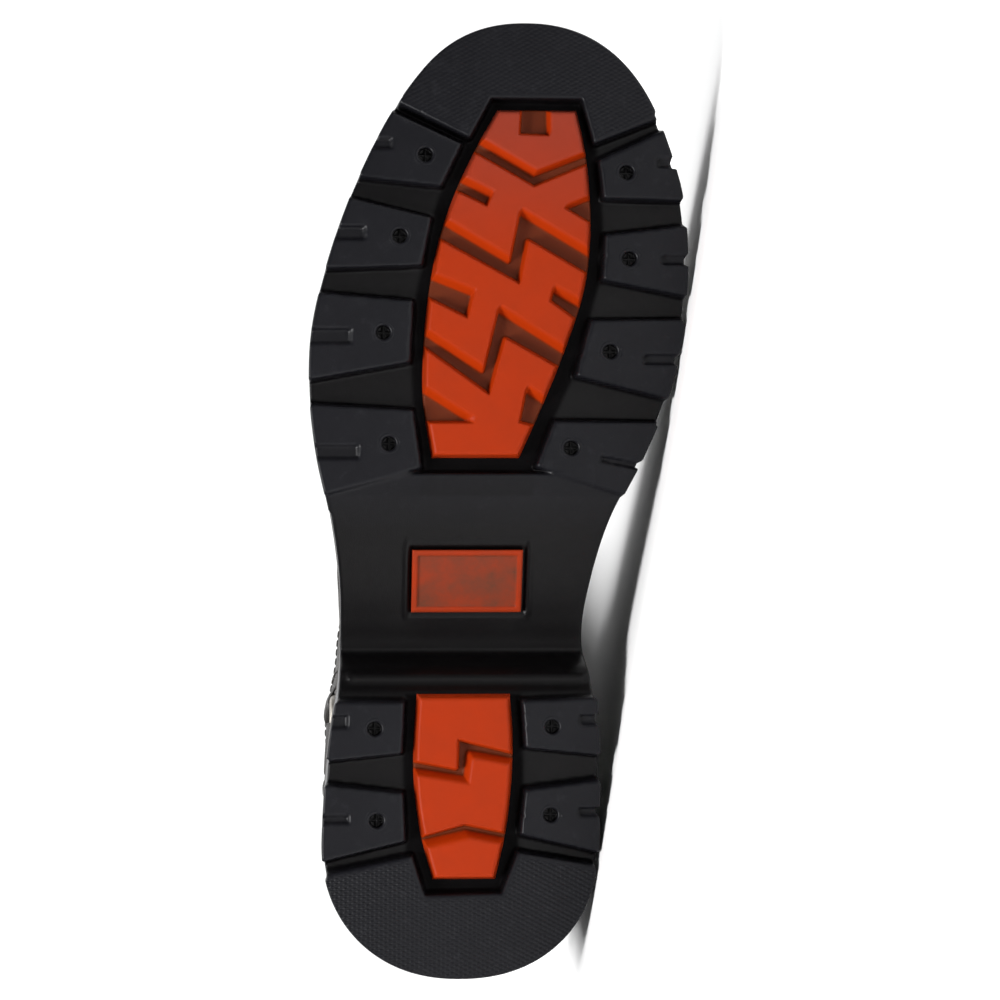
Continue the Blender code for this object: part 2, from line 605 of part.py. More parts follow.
def solid_points():
    """All parts' points in the boot's frame, in metres, and the centre of their joint volume."""
    bpy.context.view_layer.update()
    graph = bpy.context.evaluated_depsgraph_get()
    points, volume, moment = [], 0.0, Vector()
    for piece in parts.objects:
        if piece.type != "MESH":
            continue
        bm = bmesh.new()
        bm.from_object(piece, graph)
        bm.transform(piece.matrix_world)
        bmesh.ops.triangulate(bm, faces=bm.faces)
        for face in bm.faces:
            a, b, c = (vert.co for vert in face.verts)
            part = a.dot(b.cross(c)) / 6.0
            volume += part
            moment += part * (a + b + c) / 4.0
        points.extend(vert.co.copy() for vert in bm.verts)
        bm.free()
    return points, moment / volume


def lay_down():
    """Lays the boot's empty down on its medial side, on the face of the hull that is under its weight."""
    points, centre = solid_points()
    bm = bmesh.new()
    for point in points:
        bm.verts.new(point)
    bmesh.ops.convex_hull(bm, input=bm.verts)
    bmesh.ops.recalc_face_normals(bm, faces=bm.faces)
    rest = None
    for face in bm.faces:
        foot = centre + face.normal * (face.verts[0].co - centre).dot(face.normal)
        sides = [(b.co - a.co).cross(foot - a.co).dot(face.normal)
                 for a, b in zip(face.verts, [*face.verts[1:], face.verts[0]])]
        if face.normal.y > MEDIAL_FACING and min(sides) >= 0.0:
            rest = face.normal.copy()
    bm.free()
    up = -rest
    toe = Vector((1.0, 0.0, 0.0))
    toe = (toe - up * toe.dot(up)).normalized()
    turn = Matrix((toe, up.cross(toe), up))
    turned = np.array([turn @ point for point in points])
    low, high = turned.min(axis=0), turned.max(axis=0)
    shift = Vector((-(low[0] + high[0]) / 2.0, -(low[1] + high[1]) / 2.0, -low[2]))
    boot.matrix_world = Matrix.Translation(shift) @ turn.to_4x4()


for old in list(bpy.data.objects):
    bpy.data.objects.remove(old)
parts = bpy.data.collections.new(OBJECT_NAME)
cutters = bpy.data.collections.new(OBJECT_NAME + "_cutters")
bpy.context.scene.collection.children.link(parts)
bpy.context.scene.collection.children.link(cutters)
boot = bpy.data.objects.new("boot", None)
parts.objects.link(boot)

orange = material("orange_rubber", (0.45, 0.045, 0.012), 0.5)
leather = material("black_leather", (0.016, 0.015, 0.015), 0.4)
strap_leather = material("strap_leather", (0.016, 0.015, 0.015), 0.4)
steel = material("nickel_plate", (0.62, 0.61, 0.58), 0.25, metallic=1.0)

make_outsole()
make_insert("forefoot_insert", FOREFOOT_INSERT, FOREFOOT_GROOVES, orange)
make_insert("heel_insert", HEEL_INSERT, HEEL_GROOVES, orange)
make_waist_plate(orange)
make_welt()
make_insole()
make_upper(leather)
make_heel_strap(strap_leather)
make_instep_strap(strap_leather)
for boot_side in ("lateral", "medial"):
    make_arch_strap(boot_side, strap_leather)
    make_ring(boot_side, steel)
lay_down()
bpy.context.view_layer.update()
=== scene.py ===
# %% [markdown]
# # A harness motorcycle boot, lying on its side
# This lesson dresses the imported boot: plain solids of the frame are replaced by finely worked surfaces.
# Every shape is a formula on a grid of two parameters, worked out with numpy.

# %% Load the imported frame
import json
import math
from collections import namedtuple
from functools import partial

import bmesh
import bpy
import numpy as np
from mathutils import Matrix, Vector


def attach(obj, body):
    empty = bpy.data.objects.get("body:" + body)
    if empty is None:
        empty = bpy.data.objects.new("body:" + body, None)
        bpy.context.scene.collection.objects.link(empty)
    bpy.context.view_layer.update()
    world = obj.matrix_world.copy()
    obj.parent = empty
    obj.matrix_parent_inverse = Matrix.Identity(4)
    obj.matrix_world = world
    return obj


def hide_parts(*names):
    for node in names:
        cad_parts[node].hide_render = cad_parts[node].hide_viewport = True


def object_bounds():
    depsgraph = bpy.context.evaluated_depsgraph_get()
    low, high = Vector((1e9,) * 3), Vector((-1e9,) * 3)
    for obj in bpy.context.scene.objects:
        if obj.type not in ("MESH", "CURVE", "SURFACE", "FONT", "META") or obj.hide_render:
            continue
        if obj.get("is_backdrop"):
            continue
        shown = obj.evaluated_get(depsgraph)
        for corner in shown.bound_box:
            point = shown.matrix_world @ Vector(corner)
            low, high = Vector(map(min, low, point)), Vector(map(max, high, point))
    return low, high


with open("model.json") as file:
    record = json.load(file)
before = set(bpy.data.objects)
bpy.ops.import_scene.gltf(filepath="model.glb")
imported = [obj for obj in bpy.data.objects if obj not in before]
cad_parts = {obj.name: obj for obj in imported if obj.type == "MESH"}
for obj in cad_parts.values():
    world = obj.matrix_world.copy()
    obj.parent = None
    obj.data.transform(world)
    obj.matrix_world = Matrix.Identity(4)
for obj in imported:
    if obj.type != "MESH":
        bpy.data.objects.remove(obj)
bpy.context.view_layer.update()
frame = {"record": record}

MM = 0.001

# %% [markdown]
# ## The boot's own axes
# The boot lies down, but a bootmaker measures it standing: X from the heel's back to the toe, Y to the
# medial side, Z up the leg, in millimetres.  The two tread mounts of the frame give these axes exactly, so
# every shape below can be written in bootmaker's sizes and then carried into the frame.

# %% Boot axes from the two tread mounts
MOUNTS = {mount["name"]: mount for mount in frame["record"]["mounts"]}
HEEL_MOUNT_PLACE = np.array([50.0, -32.0, 0.0])


def unit(vector):
    """The vector divided by its length."""
    return vector / np.linalg.norm(vector, axis=-1, keepdims=True)


heel_mount = np.array(MOUNTS["heel_tread"]["pos_m"])
boot_up = unit(-np.array(MOUNTS["heel_tread"]["axis"]))
boot_ahead = np.array(MOUNTS["forefoot_tread"]["pos_m"]) - heel_mount
boot_ahead = unit(boot_ahead - boot_up * (boot_ahead @ boot_up))
BOOT_AXES = np.stack([boot_ahead, np.cross(boot_up, boot_ahead), boot_up])
BOOT_ORIGIN = heel_mount - HEEL_MOUNT_PLACE @ BOOT_AXES * MM


def to_frame(points):
    """Points in the boot's millimetres, carried into the frame's metres."""
    return points @ BOOT_AXES * MM + BOOT_ORIGIN


print("boot origin in the frame:", np.round(BOOT_ORIGIN, 5).tolist())

# %% [markdown]
# ## The boot's driving tables
# These are the same measured tables that the solids were built from: the sole's outline seen from
# below, its side view, the lugs, the inserts and the upper's sections.  A smooth curve through a few rows
# keeps them short.

# %% Outline, side view and tread
SIDES, OUTWARD = ("lateral", "medial"), (-1.0, 1.0)
UP = np.array([0.0, 0.0, 1.0])
Edge = namedtuple("Edge", "x lateral medial")
Level = namedtuple("Level", "x height")
Lug = namedtuple("Lug", "side outer_front outer_rear front_x front_y rear_x rear_y"
                        " dimple_x dimple_y slot_end slot_rear slot_front slot_lean")
SOLE_LENGTH, LUG_DEPTH, TOE_SPRING, SPRING_START = 312.0, 6.0, 12.0, 222.0
HEEL_ROUND, TOE_ROUND, CAP_FULLNESS = 45.0, 46.0, 2.2
BASE_INSET, FEATHER_INSET, GAP = 0.8, 7.5, 0.3
BREAST_END, BREAST_SOFTNESS, BREAST_SAMPLES = 112.0, 1.3, 5
OUTLINE = [Edge(*row) for row in (
    (0, -45.0, 45.0), (50, -45.0, 45.2), (75, -43.2, 45.4), (95, -40.3, 44.0), (110, -39.6, 41.9),
    (130, -40.0, 44.2), (150, -42.7, 49.9), (170, -47.0, 60.0), (190, -49.2, 68.2), (210, -48.6, 72.7),
    (232, -43.6, 74.2), (255, -35.6, 72.6), (275, -26.8, 67.6), (292, -21.5, 65.2), (312, -20.0, 64.0),
)]
SEAT = [Level(*row) for row in (
    (0, 45.0), (40, 43.0), (75, 40.0), (105, 34.0), (135, 24.0), (160, 16.5),
    (190, 13.0), (215, 12.5), (250, 14.3), (280, 18.2), (312, 24.6),
)]
UNDERSIDE = [Level(*row) for row in (
    (0, 6.0), (91.0, 6.0), (94.2, 8.0), (95.2, 10.5), (99.8, 12.0), (100.6, 14.5), (104.8, 25.0),
    (110, 23.4), (118, 19.6), (128, 14.2), (138, 9.0), (148, 4.8), (157, 2.0), (164, 1.0), (165, 6.0),
)]
# Each lug also has a round dimple and a shallow slot that runs out to the sole's edge.
LUGS = [Lug(*row) for row in (
    ("lateral", 283.4, 261.3, 271.4, 0.0, 258.0, -6.5, 267.8, -11.4, -22.1, 269.4, 273.6, 0),
    ("lateral", 254.2, 230.8, 247.0, -10.0, 232.1, -13.0, 241.2, -19.8, -30.8, 239.6, 244.7, 0),
    ("lateral", 222.7, 194.1, 219.8, -15.9, 200.6, -16.9, 209.8, -25.2, -35.4, 205.8, 211.3, 0),
    ("lateral", 186.3, 156.8, 184.4, -15.9, 166.2, -13.3, 173.8, -23.4, -32.9, 168.5, 173.7, 0),
    ("medial", 277.5, 253.5, 266.2, 45.8, 254.2, 47.1, 262.3, 54.2, 63.9, 263.6, 267.5, 0),
    ("medial", 245.1, 221.4, 241.5, 47.7, 227.5, 46.7, 234.0, 54.9, 65.2, 231.8, 235.7, 0),
    ("medial", 213.9, 187.9, 213.6, 42.8, 196.1, 38.0, 203.8, 48.7, 59.4, 199.3, 203.2, 0),
    ("medial", 180.2, 156.5, 180.8, 30.8, 166.5, 25.0, 172.4, 35.9, 45.4, 167.5, 170.4, -0.2),
    ("lateral", 89.9, 70.8, 89.6, -18.8, 73.7, -19.5, 81.3, -28.0, -36.4, 81.2, 86.0, 0),
    ("lateral", 63.3, 37.7, 60.0, -19.2, 45.1, -18.5, 51.5, -27.4, -36.0, 50.3, 53.9, 0),
    ("medial", 91.0, 72.4, 89.9, 20.4, 75.3, 21.4, 81.8, 29.7, 38.3, 82.1, 86.0, 0),
    ("medial", 64.6, 40.3, 61.0, 21.4, 47.1, 19.8, 53.1, 29.2, 38.0, 52.3, 55.8, 0),
)]
TOE_PAD_SIDES, HEEL_PAD_SIDES = (287.0, 282.0), (32.8, 35.4)
TOE_PAD_WINDOW = ((272.3, 44.1), (286.9, 40.3), (287.2, 10.1), (274.0, 2.9))
HEEL_PAD_WINDOW = ((40.6, 18.8), (27.3, 13.5), (26.9, -12.0), (39.6, -16.2))
print("rows of the outline:", len(OUTLINE), "lugs:", len(LUGS))

# %% Curves through the tables
BALL_X = 211.0


def smooth(table, column, at):
    """Cubic curve through one column of a table against its first column, with slopes by differences."""
    knots = np.array([row[0] for row in table], dtype=float)
    values = np.array([getattr(row, column) for row in table], dtype=float)
    slopes = np.gradient(values, knots)
    at = np.clip(np.asarray(at, dtype=float), knots[0], knots[-1])
    cell = np.clip(np.searchsorted(knots, at, side="right") - 1, 0, len(knots) - 2)
    span = knots[cell + 1] - knots[cell]
    t = (at - knots[cell]) / span
    rise = t * t * (3.0 - 2.0 * t)
    return (values[cell] * (1.0 - rise) + values[cell + 1] * rise
            + (slopes[cell] * t * (1.0 - t) ** 2 - slopes[cell + 1] * t * t * (1.0 - t)) * span)


def ease(t):
    """Soft step from 0 to 1: three times t squared less twice t cubed."""
    t = np.clip(t, 0.0, 1.0)
    return t * t * (3.0 - 2.0 * t)


def end_cap(distance, length):
    """Width of a rounded end, from 0 at its tip to 1 where the rounding ends: a superellipse quarter."""
    t = np.clip(1.0 - distance / length, 0.0, 1.0)
    return (1.0 - t ** CAP_FULLNESS) ** (1.0 / CAP_FULLNESS)


def plan_edges(x, inset):
    """Lateral and medial edge of the sole's outline at x, drawn in by an inset."""
    lateral = smooth(OUTLINE, "lateral", x) + inset
    medial = smooth(OUTLINE, "medial", x) - inset
    centre = (lateral + medial) / 2.0
    cap = end_cap(x - inset, HEEL_ROUND - inset) * end_cap(SOLE_LENGTH - inset - x, TOE_ROUND - inset)
    return centre + (lateral - centre) * cap, centre + (medial - centre) * cap


def tread_level(x):
    """Height of the tread faces: flat to the ball, then rising with the square of the way to the toe."""
    return TOE_SPRING * np.clip((x - SPRING_START) / (SOLE_LENGTH - SPRING_START), 0.0, None) ** 2


def underside_level(x):
    """Height of the sole's underside without lugs; the steps at the breast are averaged into soft ones."""
    knots, heights = zip(*UNDERSIDE)
    spread = np.where(np.asarray(x) < BREAST_END, BREAST_SOFTNESS, 0.0)
    ways = np.linspace(-1.0, 1.0, BREAST_SAMPLES)
    softened = np.mean([np.interp(x + spread * way, knots, heights) for way in ways], axis=0)
    return softened + tread_level(x)


def seat_level(x):
    """Height of the seat on top of the sole."""
    return smooth(SEAT, "height", x)


print("width at the ball:", round(float(np.ptp(plan_edges(BALL_X, 0.0))), 1), "mm")

# %% [markdown]
# ## From a grid of points to a piece
# Every piece below ends as an array of points.  One helper joins neighbouring points into quads, another
# makes the mesh, keeps the boot's own coordinates on it for the materials, merges the points that meet at
# poles and seams, and turns all faces outwards.

# %% Grid helpers


def xyz(x, y, z):
    """Points from their three coordinates, spread to one common shape."""
    return np.stack(np.broadcast_arrays(x, y, z), axis=-1)


def full_turn(count):
    """Evenly spaced angles round a full turn, without its end."""
    return np.linspace(0.0, 2.0 * math.pi, count, endpoint=False)


def to_and_fro(turn):
    """Way from 0 to 1 over the first half of a turn and back over the second: half of 1 less the cosine."""
    return (1.0 - np.cos(turn)) / 2.0


def running(steps):
    """Running sum of the steps, from 0."""
    return np.concatenate([[0.0], np.cumsum(steps)])


def between(low, high, count):
    """Rows of evenly spaced places from one edge of a strip to the other."""
    return low[:, None] + (high - low)[:, None] * np.linspace(0.0, 1.0, count)


def grid_faces(rows, columns, round_rows=False, round_columns=False, copies=1):
    """Quads between neighbours of a grid; a round direction also joins its last line to its first.

    Further copies of the grid follow on from the first one, each with its own points.
    """
    down, over = np.arange(rows - (not round_rows)), np.arange(columns - (not round_columns))
    i, j = np.meshgrid(down, over, indexing="ij")
    below, beside = (i + 1) % rows, (j + 1) % columns
    corners = (i * columns + j, i * columns + beside, below * columns + beside, below * columns + j)
    faces = np.stack([corner.ravel() for corner in corners], axis=1)
    return (faces + np.arange(copies)[:, None, None] * rows * columns).reshape(-1, 4)


def loop_faces(rows, columns, copies=1):
    """Faces of solids that each go through a row of closed loops, with a flat face at either end."""
    faces = grid_faces(rows, columns, round_columns=True, copies=copies).tolist()
    for start in range(0, copies * rows * columns, rows * columns):
        last = start + (rows - 1) * columns
        faces += [list(range(start, start + columns))[::-1], list(range(last, last + columns))]
    return faces


print("faces of a grid of 3 by 3 points:", len(grid_faces(3, 3)))

# %% One helper for pieces
WELD_DISTANCE = 1e-7


def add_piece(name, points, faces, surface, slot, stands_for=(), **marks):
    """Makes one finished piece from points in the boot's millimetres, riding on the boot's only body.

    The marks are shares that its finish needs, one for each point.
    """
    points = points.reshape(-1, 3)
    mesh = bpy.data.meshes.new(name)
    mesh.from_pydata(to_frame(points).tolist(), [], [list(face) for face in faces])
    for layer, values in {"boot": points, **marks}.items():
        kind, field = ("FLOAT_VECTOR", "vector") if layer == "boot" else ("FLOAT", "value")
        data = mesh.attributes.new(layer, kind, "POINT").data
        data.foreach_set(field, np.asarray(values, dtype=np.float32).ravel())
    bm = bmesh.new()
    bm.from_mesh(mesh)
    bmesh.ops.remove_doubles(bm, verts=bm.verts, dist=WELD_DISTANCE)
    bmesh.ops.recalc_face_normals(bm, faces=bm.faces)
    open_edges = sum(not edge.is_manifold for edge in bm.edges)
    bm.to_mesh(mesh)
    bm.free()
    mesh.shade_smooth()
    mesh.materials.append(surface)
    piece = bpy.data.objects.new(name, mesh)
    bpy.context.scene.collection.objects.link(piece)
    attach(piece, "root")
    if stands_for:
        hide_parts(*stands_for)
    triangles = sum(len(polygon.vertices) - 2 for polygon in mesh.polygons)
    print(f"{name}: {triangles} triangles, {open_edges} open edges")


# %% [markdown]
# ## Finishes: one helper for nodes
# A material is a small graph.  One function adds a node, sets its properties and fills its inputs, so each
# finish below reads as a list of what is done to the surface.  The settings of its patterns stand in front
# of it under names of their own, and each pattern's scale is one over a real size in millimetres.  Colours
# are written as they look on a screen, in sRGB hex, and turned to the linear values that the renderer
# works with.

# %% Node helper and colours
FACTOR, COLOUR_A, COLOUR_B, MIXED = 0, 6, 7, 2


def linear(colour):
    """A linear colour from an sRGB hex value, by the sRGB curve."""
    channels = np.array([int(colour[start:start + 2], 16) for start in (1, 3, 5)]) / 255.0
    bright = ((channels + 0.055) / 1.055) ** 2.4
    return (*np.where(channels <= 0.04045, channels / 12.92, bright).tolist(), 1.0)


def fill(node, inputs):
    """Fills inputs of a node by name or number: a socket is linked, a value is set."""
    for key, value in inputs.items():
        if isinstance(value, bpy.types.NodeSocket):
            node.id_data.links.new(value, node.inputs[key])
        else:
            node.inputs[key].default_value = value


def add_node(tree, kind, inputs, output=0, **settings):
    """Adds a node, sets its properties, fills its inputs and gives back one of its outputs."""
    made = tree.nodes.new("ShaderNode" + kind)
    for name, value in settings.items():
        setattr(made, name, value)
    fill(made, inputs)
    return made.outputs[output]


def new_finish(name):
    """A material, the node helper for its graph, and the filling of its Principled shader."""
    surface = bpy.data.materials.new(name)
    surface.use_nodes = True
    tree = surface.node_tree
    return surface, partial(add_node, tree), partial(fill, tree.nodes["Principled BSDF"])


print("finish helpers ready, mid grey is", round(linear("#808080")[0], 3))

# %% [markdown]
# ## Black rubber
# The unit sole is moulded black rubber.  It looks satin: the mould leaves a fine stipple, the tread faces are
# rubbed a little paler and greyer, and the low places are painted darker as painted shade; in the trough
# round the inserts their shine is turned down too, as painted shade.  The toe and heel pads carry a fine
# diamond pattern, too small to model, so it is drawn as a bump from the boot's own coordinates, only where
# the pads are.

# %% Black rubber finish
# The real stipple is finer than this: it is drawn as coarse as it needs to show.
CLOUD_SIZE, SCUFF_SIZE, STIPPLE_SIZE = 14.0, 5.0, 0.45
PAD_PITCH, PAD_SLANT = 1.35, math.radians(28.0)
PAD_TURNS, PAD_WAVES = 2.0 * math.pi / PAD_PITCH, ((PAD_SLANT, 1.0), (-PAD_SLANT, 0.6))
CLOUDS = {"Scale": 1.0 / CLOUD_SIZE, "Detail": 5.0}
SCUFFS = {"Scale": 1.0 / SCUFF_SIZE, "Detail": 8.0, "Roughness": 0.7}
STIPPLE = {"Scale": 1.0 / STIPPLE_SIZE, "Detail": 2.0}
WORN_FACES = {"From Min": 0.56, "From Max": 0.74, "To Max": 0.5}
SATIN = {"To Min": 0.26, "To Max": 0.46}
STIPPLE_BUMP = {"Strength": 0.35, "Distance": 0.12 * MM}
PAD_BUMP = {"Strength": 0.7, "Distance": 0.2 * MM}
# A depth of 1 to 2 marks the trough round the inserts, which light hardly reaches; lowering its shine there
# is painted shade.
TROUGH_SHINE = {"From Min": 1.0, "From Max": 2.0, "To Min": 0.16, "To Max": 0.03}


def black_rubber():
    """Moulded black rubber, satin, paler on worn faces, with a diamond pattern on the pads."""
    surface, node, shader = new_finish("moulded_black_rubber")
    boot = node("Attribute", {}, "Vector", attribute_name="boot")
    depth, pad = (node("Attribute", {}, "Fac", attribute_name=mark) for mark in ("depth", "pad"))
    clouds = node("TexNoise", {"Vector": boot, **CLOUDS})
    scuffs = node("TexNoise", {"Vector": boot, **SCUFFS})
    stipple = node("TexNoise", {"Vector": boot, **STIPPLE})
    worn = node("MapRange", {"Value": scuffs, **WORN_FACES})
    tint = linear("#0e0e12")
    # The depth share paints shade: whatever lies below the tread faces (grooves, slots, dimple holes, the
    # waist) is darkened.
    for share, over in ((clouds, "#151519"), (worn, "#242428"), (depth, "#080708")):
        tint = node("Mix", {FACTOR: share, COLOUR_A: tint, COLOUR_B: linear(over)}, MIXED, data_type="RGBA")
    x, y = node("SeparateXYZ", {"Vector": boot}).node.outputs[:2]
    waves = []
    for slant, share in PAD_WAVES:
        turns = node("Math", {0: x, 1: math.cos(slant) * PAD_TURNS}, operation="MULTIPLY")
        turns = node("Math", {0: y, 1: math.sin(slant) * PAD_TURNS, 2: turns}, operation="MULTIPLY_ADD")
        wave = node("Math", {0: turns}, operation="SINE")
        waves.append(node("Math", {0: wave, 1: share}, operation="MULTIPLY"))
    diamonds = node("Math", {0: waves[0], 1: waves[1]}, operation="ADD")
    diamonds = node("Math", {0: diamonds, 1: pad}, operation="MULTIPLY")
    bump = node("Bump", {"Height": stipple, **STIPPLE_BUMP})
    shader({
        "Base Color": tint,
        "Roughness": node("MapRange", {"Value": scuffs, **SATIN}),
        "Specular IOR Level": node("MapRange", {"Value": depth, **TROUGH_SHINE}),
        "Normal": node("Bump", {"Height": diamonds, "Normal": bump, **PAD_BUMP}),
    })
    return surface


BLACK_RUBBER = black_rubber()
print("finish:", BLACK_RUBBER.name)

# %% [markdown]
# ## Orange rubber
# The inserts and the plate are a softer orange rubber.  Their groove floors are darkened brown as painted
# shade, the block faces stay bright, and towards the toe the colour is duller and paler.

# %% Orange rubber finish
GRIME_SIZE, SCRATCH_SIZE = 9.0, 1.6
GRIME = {"Scale": 1.0 / GRIME_SIZE, "Detail": 7.0, "Roughness": 0.65}
SCRATCHES = {"Scale": 1.0 / SCRATCH_SIZE, "Detail": 4.0}
DULL_TOE = {"From Min": 235.0, "From Max": 285.0, "To Max": 0.7}
SLOPING_WALLS = {"From Max": 0.2}
# Share of the painted shade that darkens the groove floors brown.
GROOVE_FLOOR_SHADE = {"From Min": 0.7, "From Max": 0.95}
ORANGE_SATIN = {"To Min": 0.34, "To Max": 0.52}
SCRATCH_BUMP = {"Strength": 0.25, "Distance": 0.15 * MM}
ORANGE_SPECULAR = 0.08


def orange_rubber():
    """Moulded orange rubber: bright block faces, grooves browned as painted shade, duller towards the toe."""
    surface, node, shader = new_finish("moulded_orange_rubber")
    boot = node("Attribute", {}, "Vector", attribute_name="boot")
    depth, scuff = (node("Attribute", {}, "Fac", attribute_name=mark) for mark in ("depth", "scuff"))
    grime = node("TexNoise", {"Vector": boot, **GRIME})
    scratches = node("TexNoise", {"Vector": boot, **SCRATCHES})
    dull = node("MapRange", {"Value": node("SeparateXYZ", {"Vector": boot}), **DULL_TOE})
    rubbed = node("Math", {0: scuff, 1: grime}, operation="MULTIPLY")
    sloping = node("MapRange", {"Value": depth, **SLOPING_WALLS})
    low = node("MapRange", {"Value": depth, **GROOVE_FLOOR_SHADE})
    tint = linear("#a22d07")
    # The last mix paints shade: the groove floors are darkened brown.
    for share, over in ((grime, "#962a07"), (dull, "#84392d"), (rubbed, "#4f3629"), (sloping, "#9e2c04"),
                        (low, "#5e2814")):
        tint = node("Mix", {FACTOR: share, COLOUR_A: tint, COLOUR_B: linear(over)}, MIXED, data_type="RGBA")
    shader({
        "Base Color": tint,
        "Roughness": node("MapRange", {"Value": grime, **ORANGE_SATIN}),
        "Specular IOR Level": ORANGE_SPECULAR,
        "Normal": node("Bump", {"Height": scratches, **SCRATCH_BUMP}),
    })
    return surface


ORANGE_RUBBER = orange_rubber()
print("finish:", ORANGE_RUBBER.name)

# %% [markdown]
# ## The tread as one height field
# The underside of a moulded sole is a landscape: floors, and lugs with sloping walls that let it leave the
# mould.  It could be cut together from blocks, but then every edge is knife sharp.  Here the height is a
# formula of (x, y): the distance to each lug's outline, turned into a soft ramp.  The same distance gives
# the slots.

# %% Distance to an outline, and the outlines of lugs and pads
EDGE_MARGIN = 4.0
PAD_STEPS = 24
SLOT_RUN = 20.0


def inside_distance(x, y, outline):
    """Distance from each point to a closed outline, positive inside: nearest edge, sign by crossings."""
    start = np.array(outline, dtype=float)
    end = np.roll(start, -1, axis=0)
    edge = end - start
    away_x, away_y = x[..., None] - start[:, 0], y[..., None] - start[:, 1]
    along = np.clip((away_x * edge[:, 0] + away_y * edge[:, 1]) / (edge ** 2).sum(axis=1), 0.0, 1.0)
    nearest = np.hypot(away_x - along * edge[:, 0], away_y - along * edge[:, 1]).min(axis=-1)
    spans = (start[:, 1] > y[..., None]) != (end[:, 1] > y[..., None])
    rise = np.where(edge[:, 1] == 0.0, 1.0, edge[:, 1])
    passed = x[..., None] < start[:, 0] + away_y * edge[:, 0] / rise
    return np.where((spans & passed).sum(axis=-1) % 2 == 1, nearest, -nearest)


def lug_outline(lug):
    """A lug's corners, its outer ones pushed past the sole's edge so that the lug runs out to it."""
    outer = np.array([lug.outer_front, lug.outer_rear])
    edge = plan_edges(outer, -EDGE_MARGIN)[SIDES.index(lug.side)]
    return [*zip(outer, edge), (lug.rear_x, lug.rear_y), (lug.front_x, lug.front_y)]


def slot_outline(lug):
    """A lug's slot: a strip from its inner end out past the sole's edge."""
    outer = lug.slot_end + OUTWARD[SIDES.index(lug.side)] * SLOT_RUN
    lean = lug.slot_lean * SLOT_RUN
    return [(lug.slot_rear, lug.slot_end), (lug.slot_front, lug.slot_end), (lug.slot_front + lean, outer),
            (lug.slot_rear + lean, outer)]


def pad_outline(tip, sides, window):
    """Toe or heel pad: round the end of the sole, just outside it, then back along the insert's window."""
    swing = np.sin(np.linspace(0.0, math.pi / 2.0, PAD_STEPS))
    lateral_x, medial_x = (side + (tip - side) * swing for side in sides)
    medial_x = medial_x[-2::-1]
    lateral, medial = plan_edges(lateral_x, -EDGE_MARGIN)[0], plan_edges(medial_x, -EDGE_MARGIN)[1]
    return [*zip(lateral_x, lateral), *zip(medial_x, medial), *window]


LUG_OUTLINES = [lug_outline(lug) for lug in LUGS]
SLOT_OUTLINES = [slot_outline(lug) for lug in LUGS]
PAD_OUTLINES = [pad_outline(SOLE_LENGTH + EDGE_MARGIN, TOE_PAD_SIDES, TOE_PAD_WINDOW),
                pad_outline(-EDGE_MARGIN, HEEL_PAD_SIDES, HEEL_PAD_WINDOW)]
print("tread outlines:", len(LUG_OUTLINES) + len(PAD_OUTLINES), "slots:", len(SLOT_OUTLINES))

# %% Sizes of the tread's details
LUG_DRAFT = 1.5
SLOT_DEPTH, SLOT_DRAFT = 1.7, 0.8
DIMPLE_HOLE, DIMPLE_DEPTH, WALL_DRAFT = 2.8, 4.2, 0.5
BAR_MIDDLE, BAR_HALF, BAR_RISE, BAR_FADE = 97.4, 2.6, 1.1, 2.0
BAR_LATERAL, BAR_MEDIAL = -37.7, 42.5
PLATE_REAR, PLATE_FRONT, PLATE_LATERAL, PLATE_MEDIAL = 118.5, 139.2, -15.5, 20.7
PLATE_POCKET, PLATE_THICKNESS, PLATE_RIM, PLATE_RECESS = 1.5, 2.3, 1.6, 0.8
POCKET_REAR, POCKET_FRONT, POCKET_LATERAL, POCKET_MEDIAL = 0.5, 1.2, 1.0, 1.6
BORDER_RISE, BORDER_WIDTH = 0.4, 1.0
NEAR, FAR = 3.0, 1e3
TOE_PAD_RELIEF, PAD_MARGIN = 0.35, 0.6
WAIST_REAR, WAIST_FRONT, TROUGH_FADE = 93.0, 156.0, 1.5


def rectangle(low_x, high_x, low_y, high_y):
    """Corners of an upright rectangle."""
    return [(low_x, low_y), (high_x, low_y), (high_x, high_y), (low_x, high_y)]


POCKET = rectangle(PLATE_REAR - POCKET_REAR, PLATE_FRONT + POCKET_FRONT,
                   PLATE_LATERAL - POCKET_LATERAL, PLATE_MEDIAL + POCKET_MEDIAL)
print("corners of the plate's pocket:", POCKET[0], POCKET[2])

# %% Height of the underside


def near_distance(x, y, outline):
    """Distance inside an outline, worked out only near it; elsewhere a large negative number."""
    corners = np.array(outline)
    near = ((x > corners[:, 0].min() - NEAR) & (x < corners[:, 0].max() + NEAR)
            & (y > corners[:, 1].min() - NEAR) & (y < corners[:, 1].max() + NEAR))
    distance = np.full(x.shape, -FAR)
    distance[near] = inside_distance(x[near], y[near], outline)
    return distance


def trough(x, y):
    """Share of the trough round the inserts: 1 between the inner ends of the lugs, none in the waist."""
    inner = []
    for side in SIDES:
        ends = [end for lug in LUGS if lug.side == side
                for end in ((lug.rear_x, lug.rear_y), (lug.front_x, lug.front_y))]
        inner.append(np.interp(x, *zip(*sorted(ends))))
    across = ease(np.minimum(y - inner[0], inner[1] - y) / TROUGH_FADE)
    return across * np.maximum(ease((x - WAIST_FRONT) / TROUGH_FADE), ease((WAIST_REAR - x) / TROUGH_FADE))


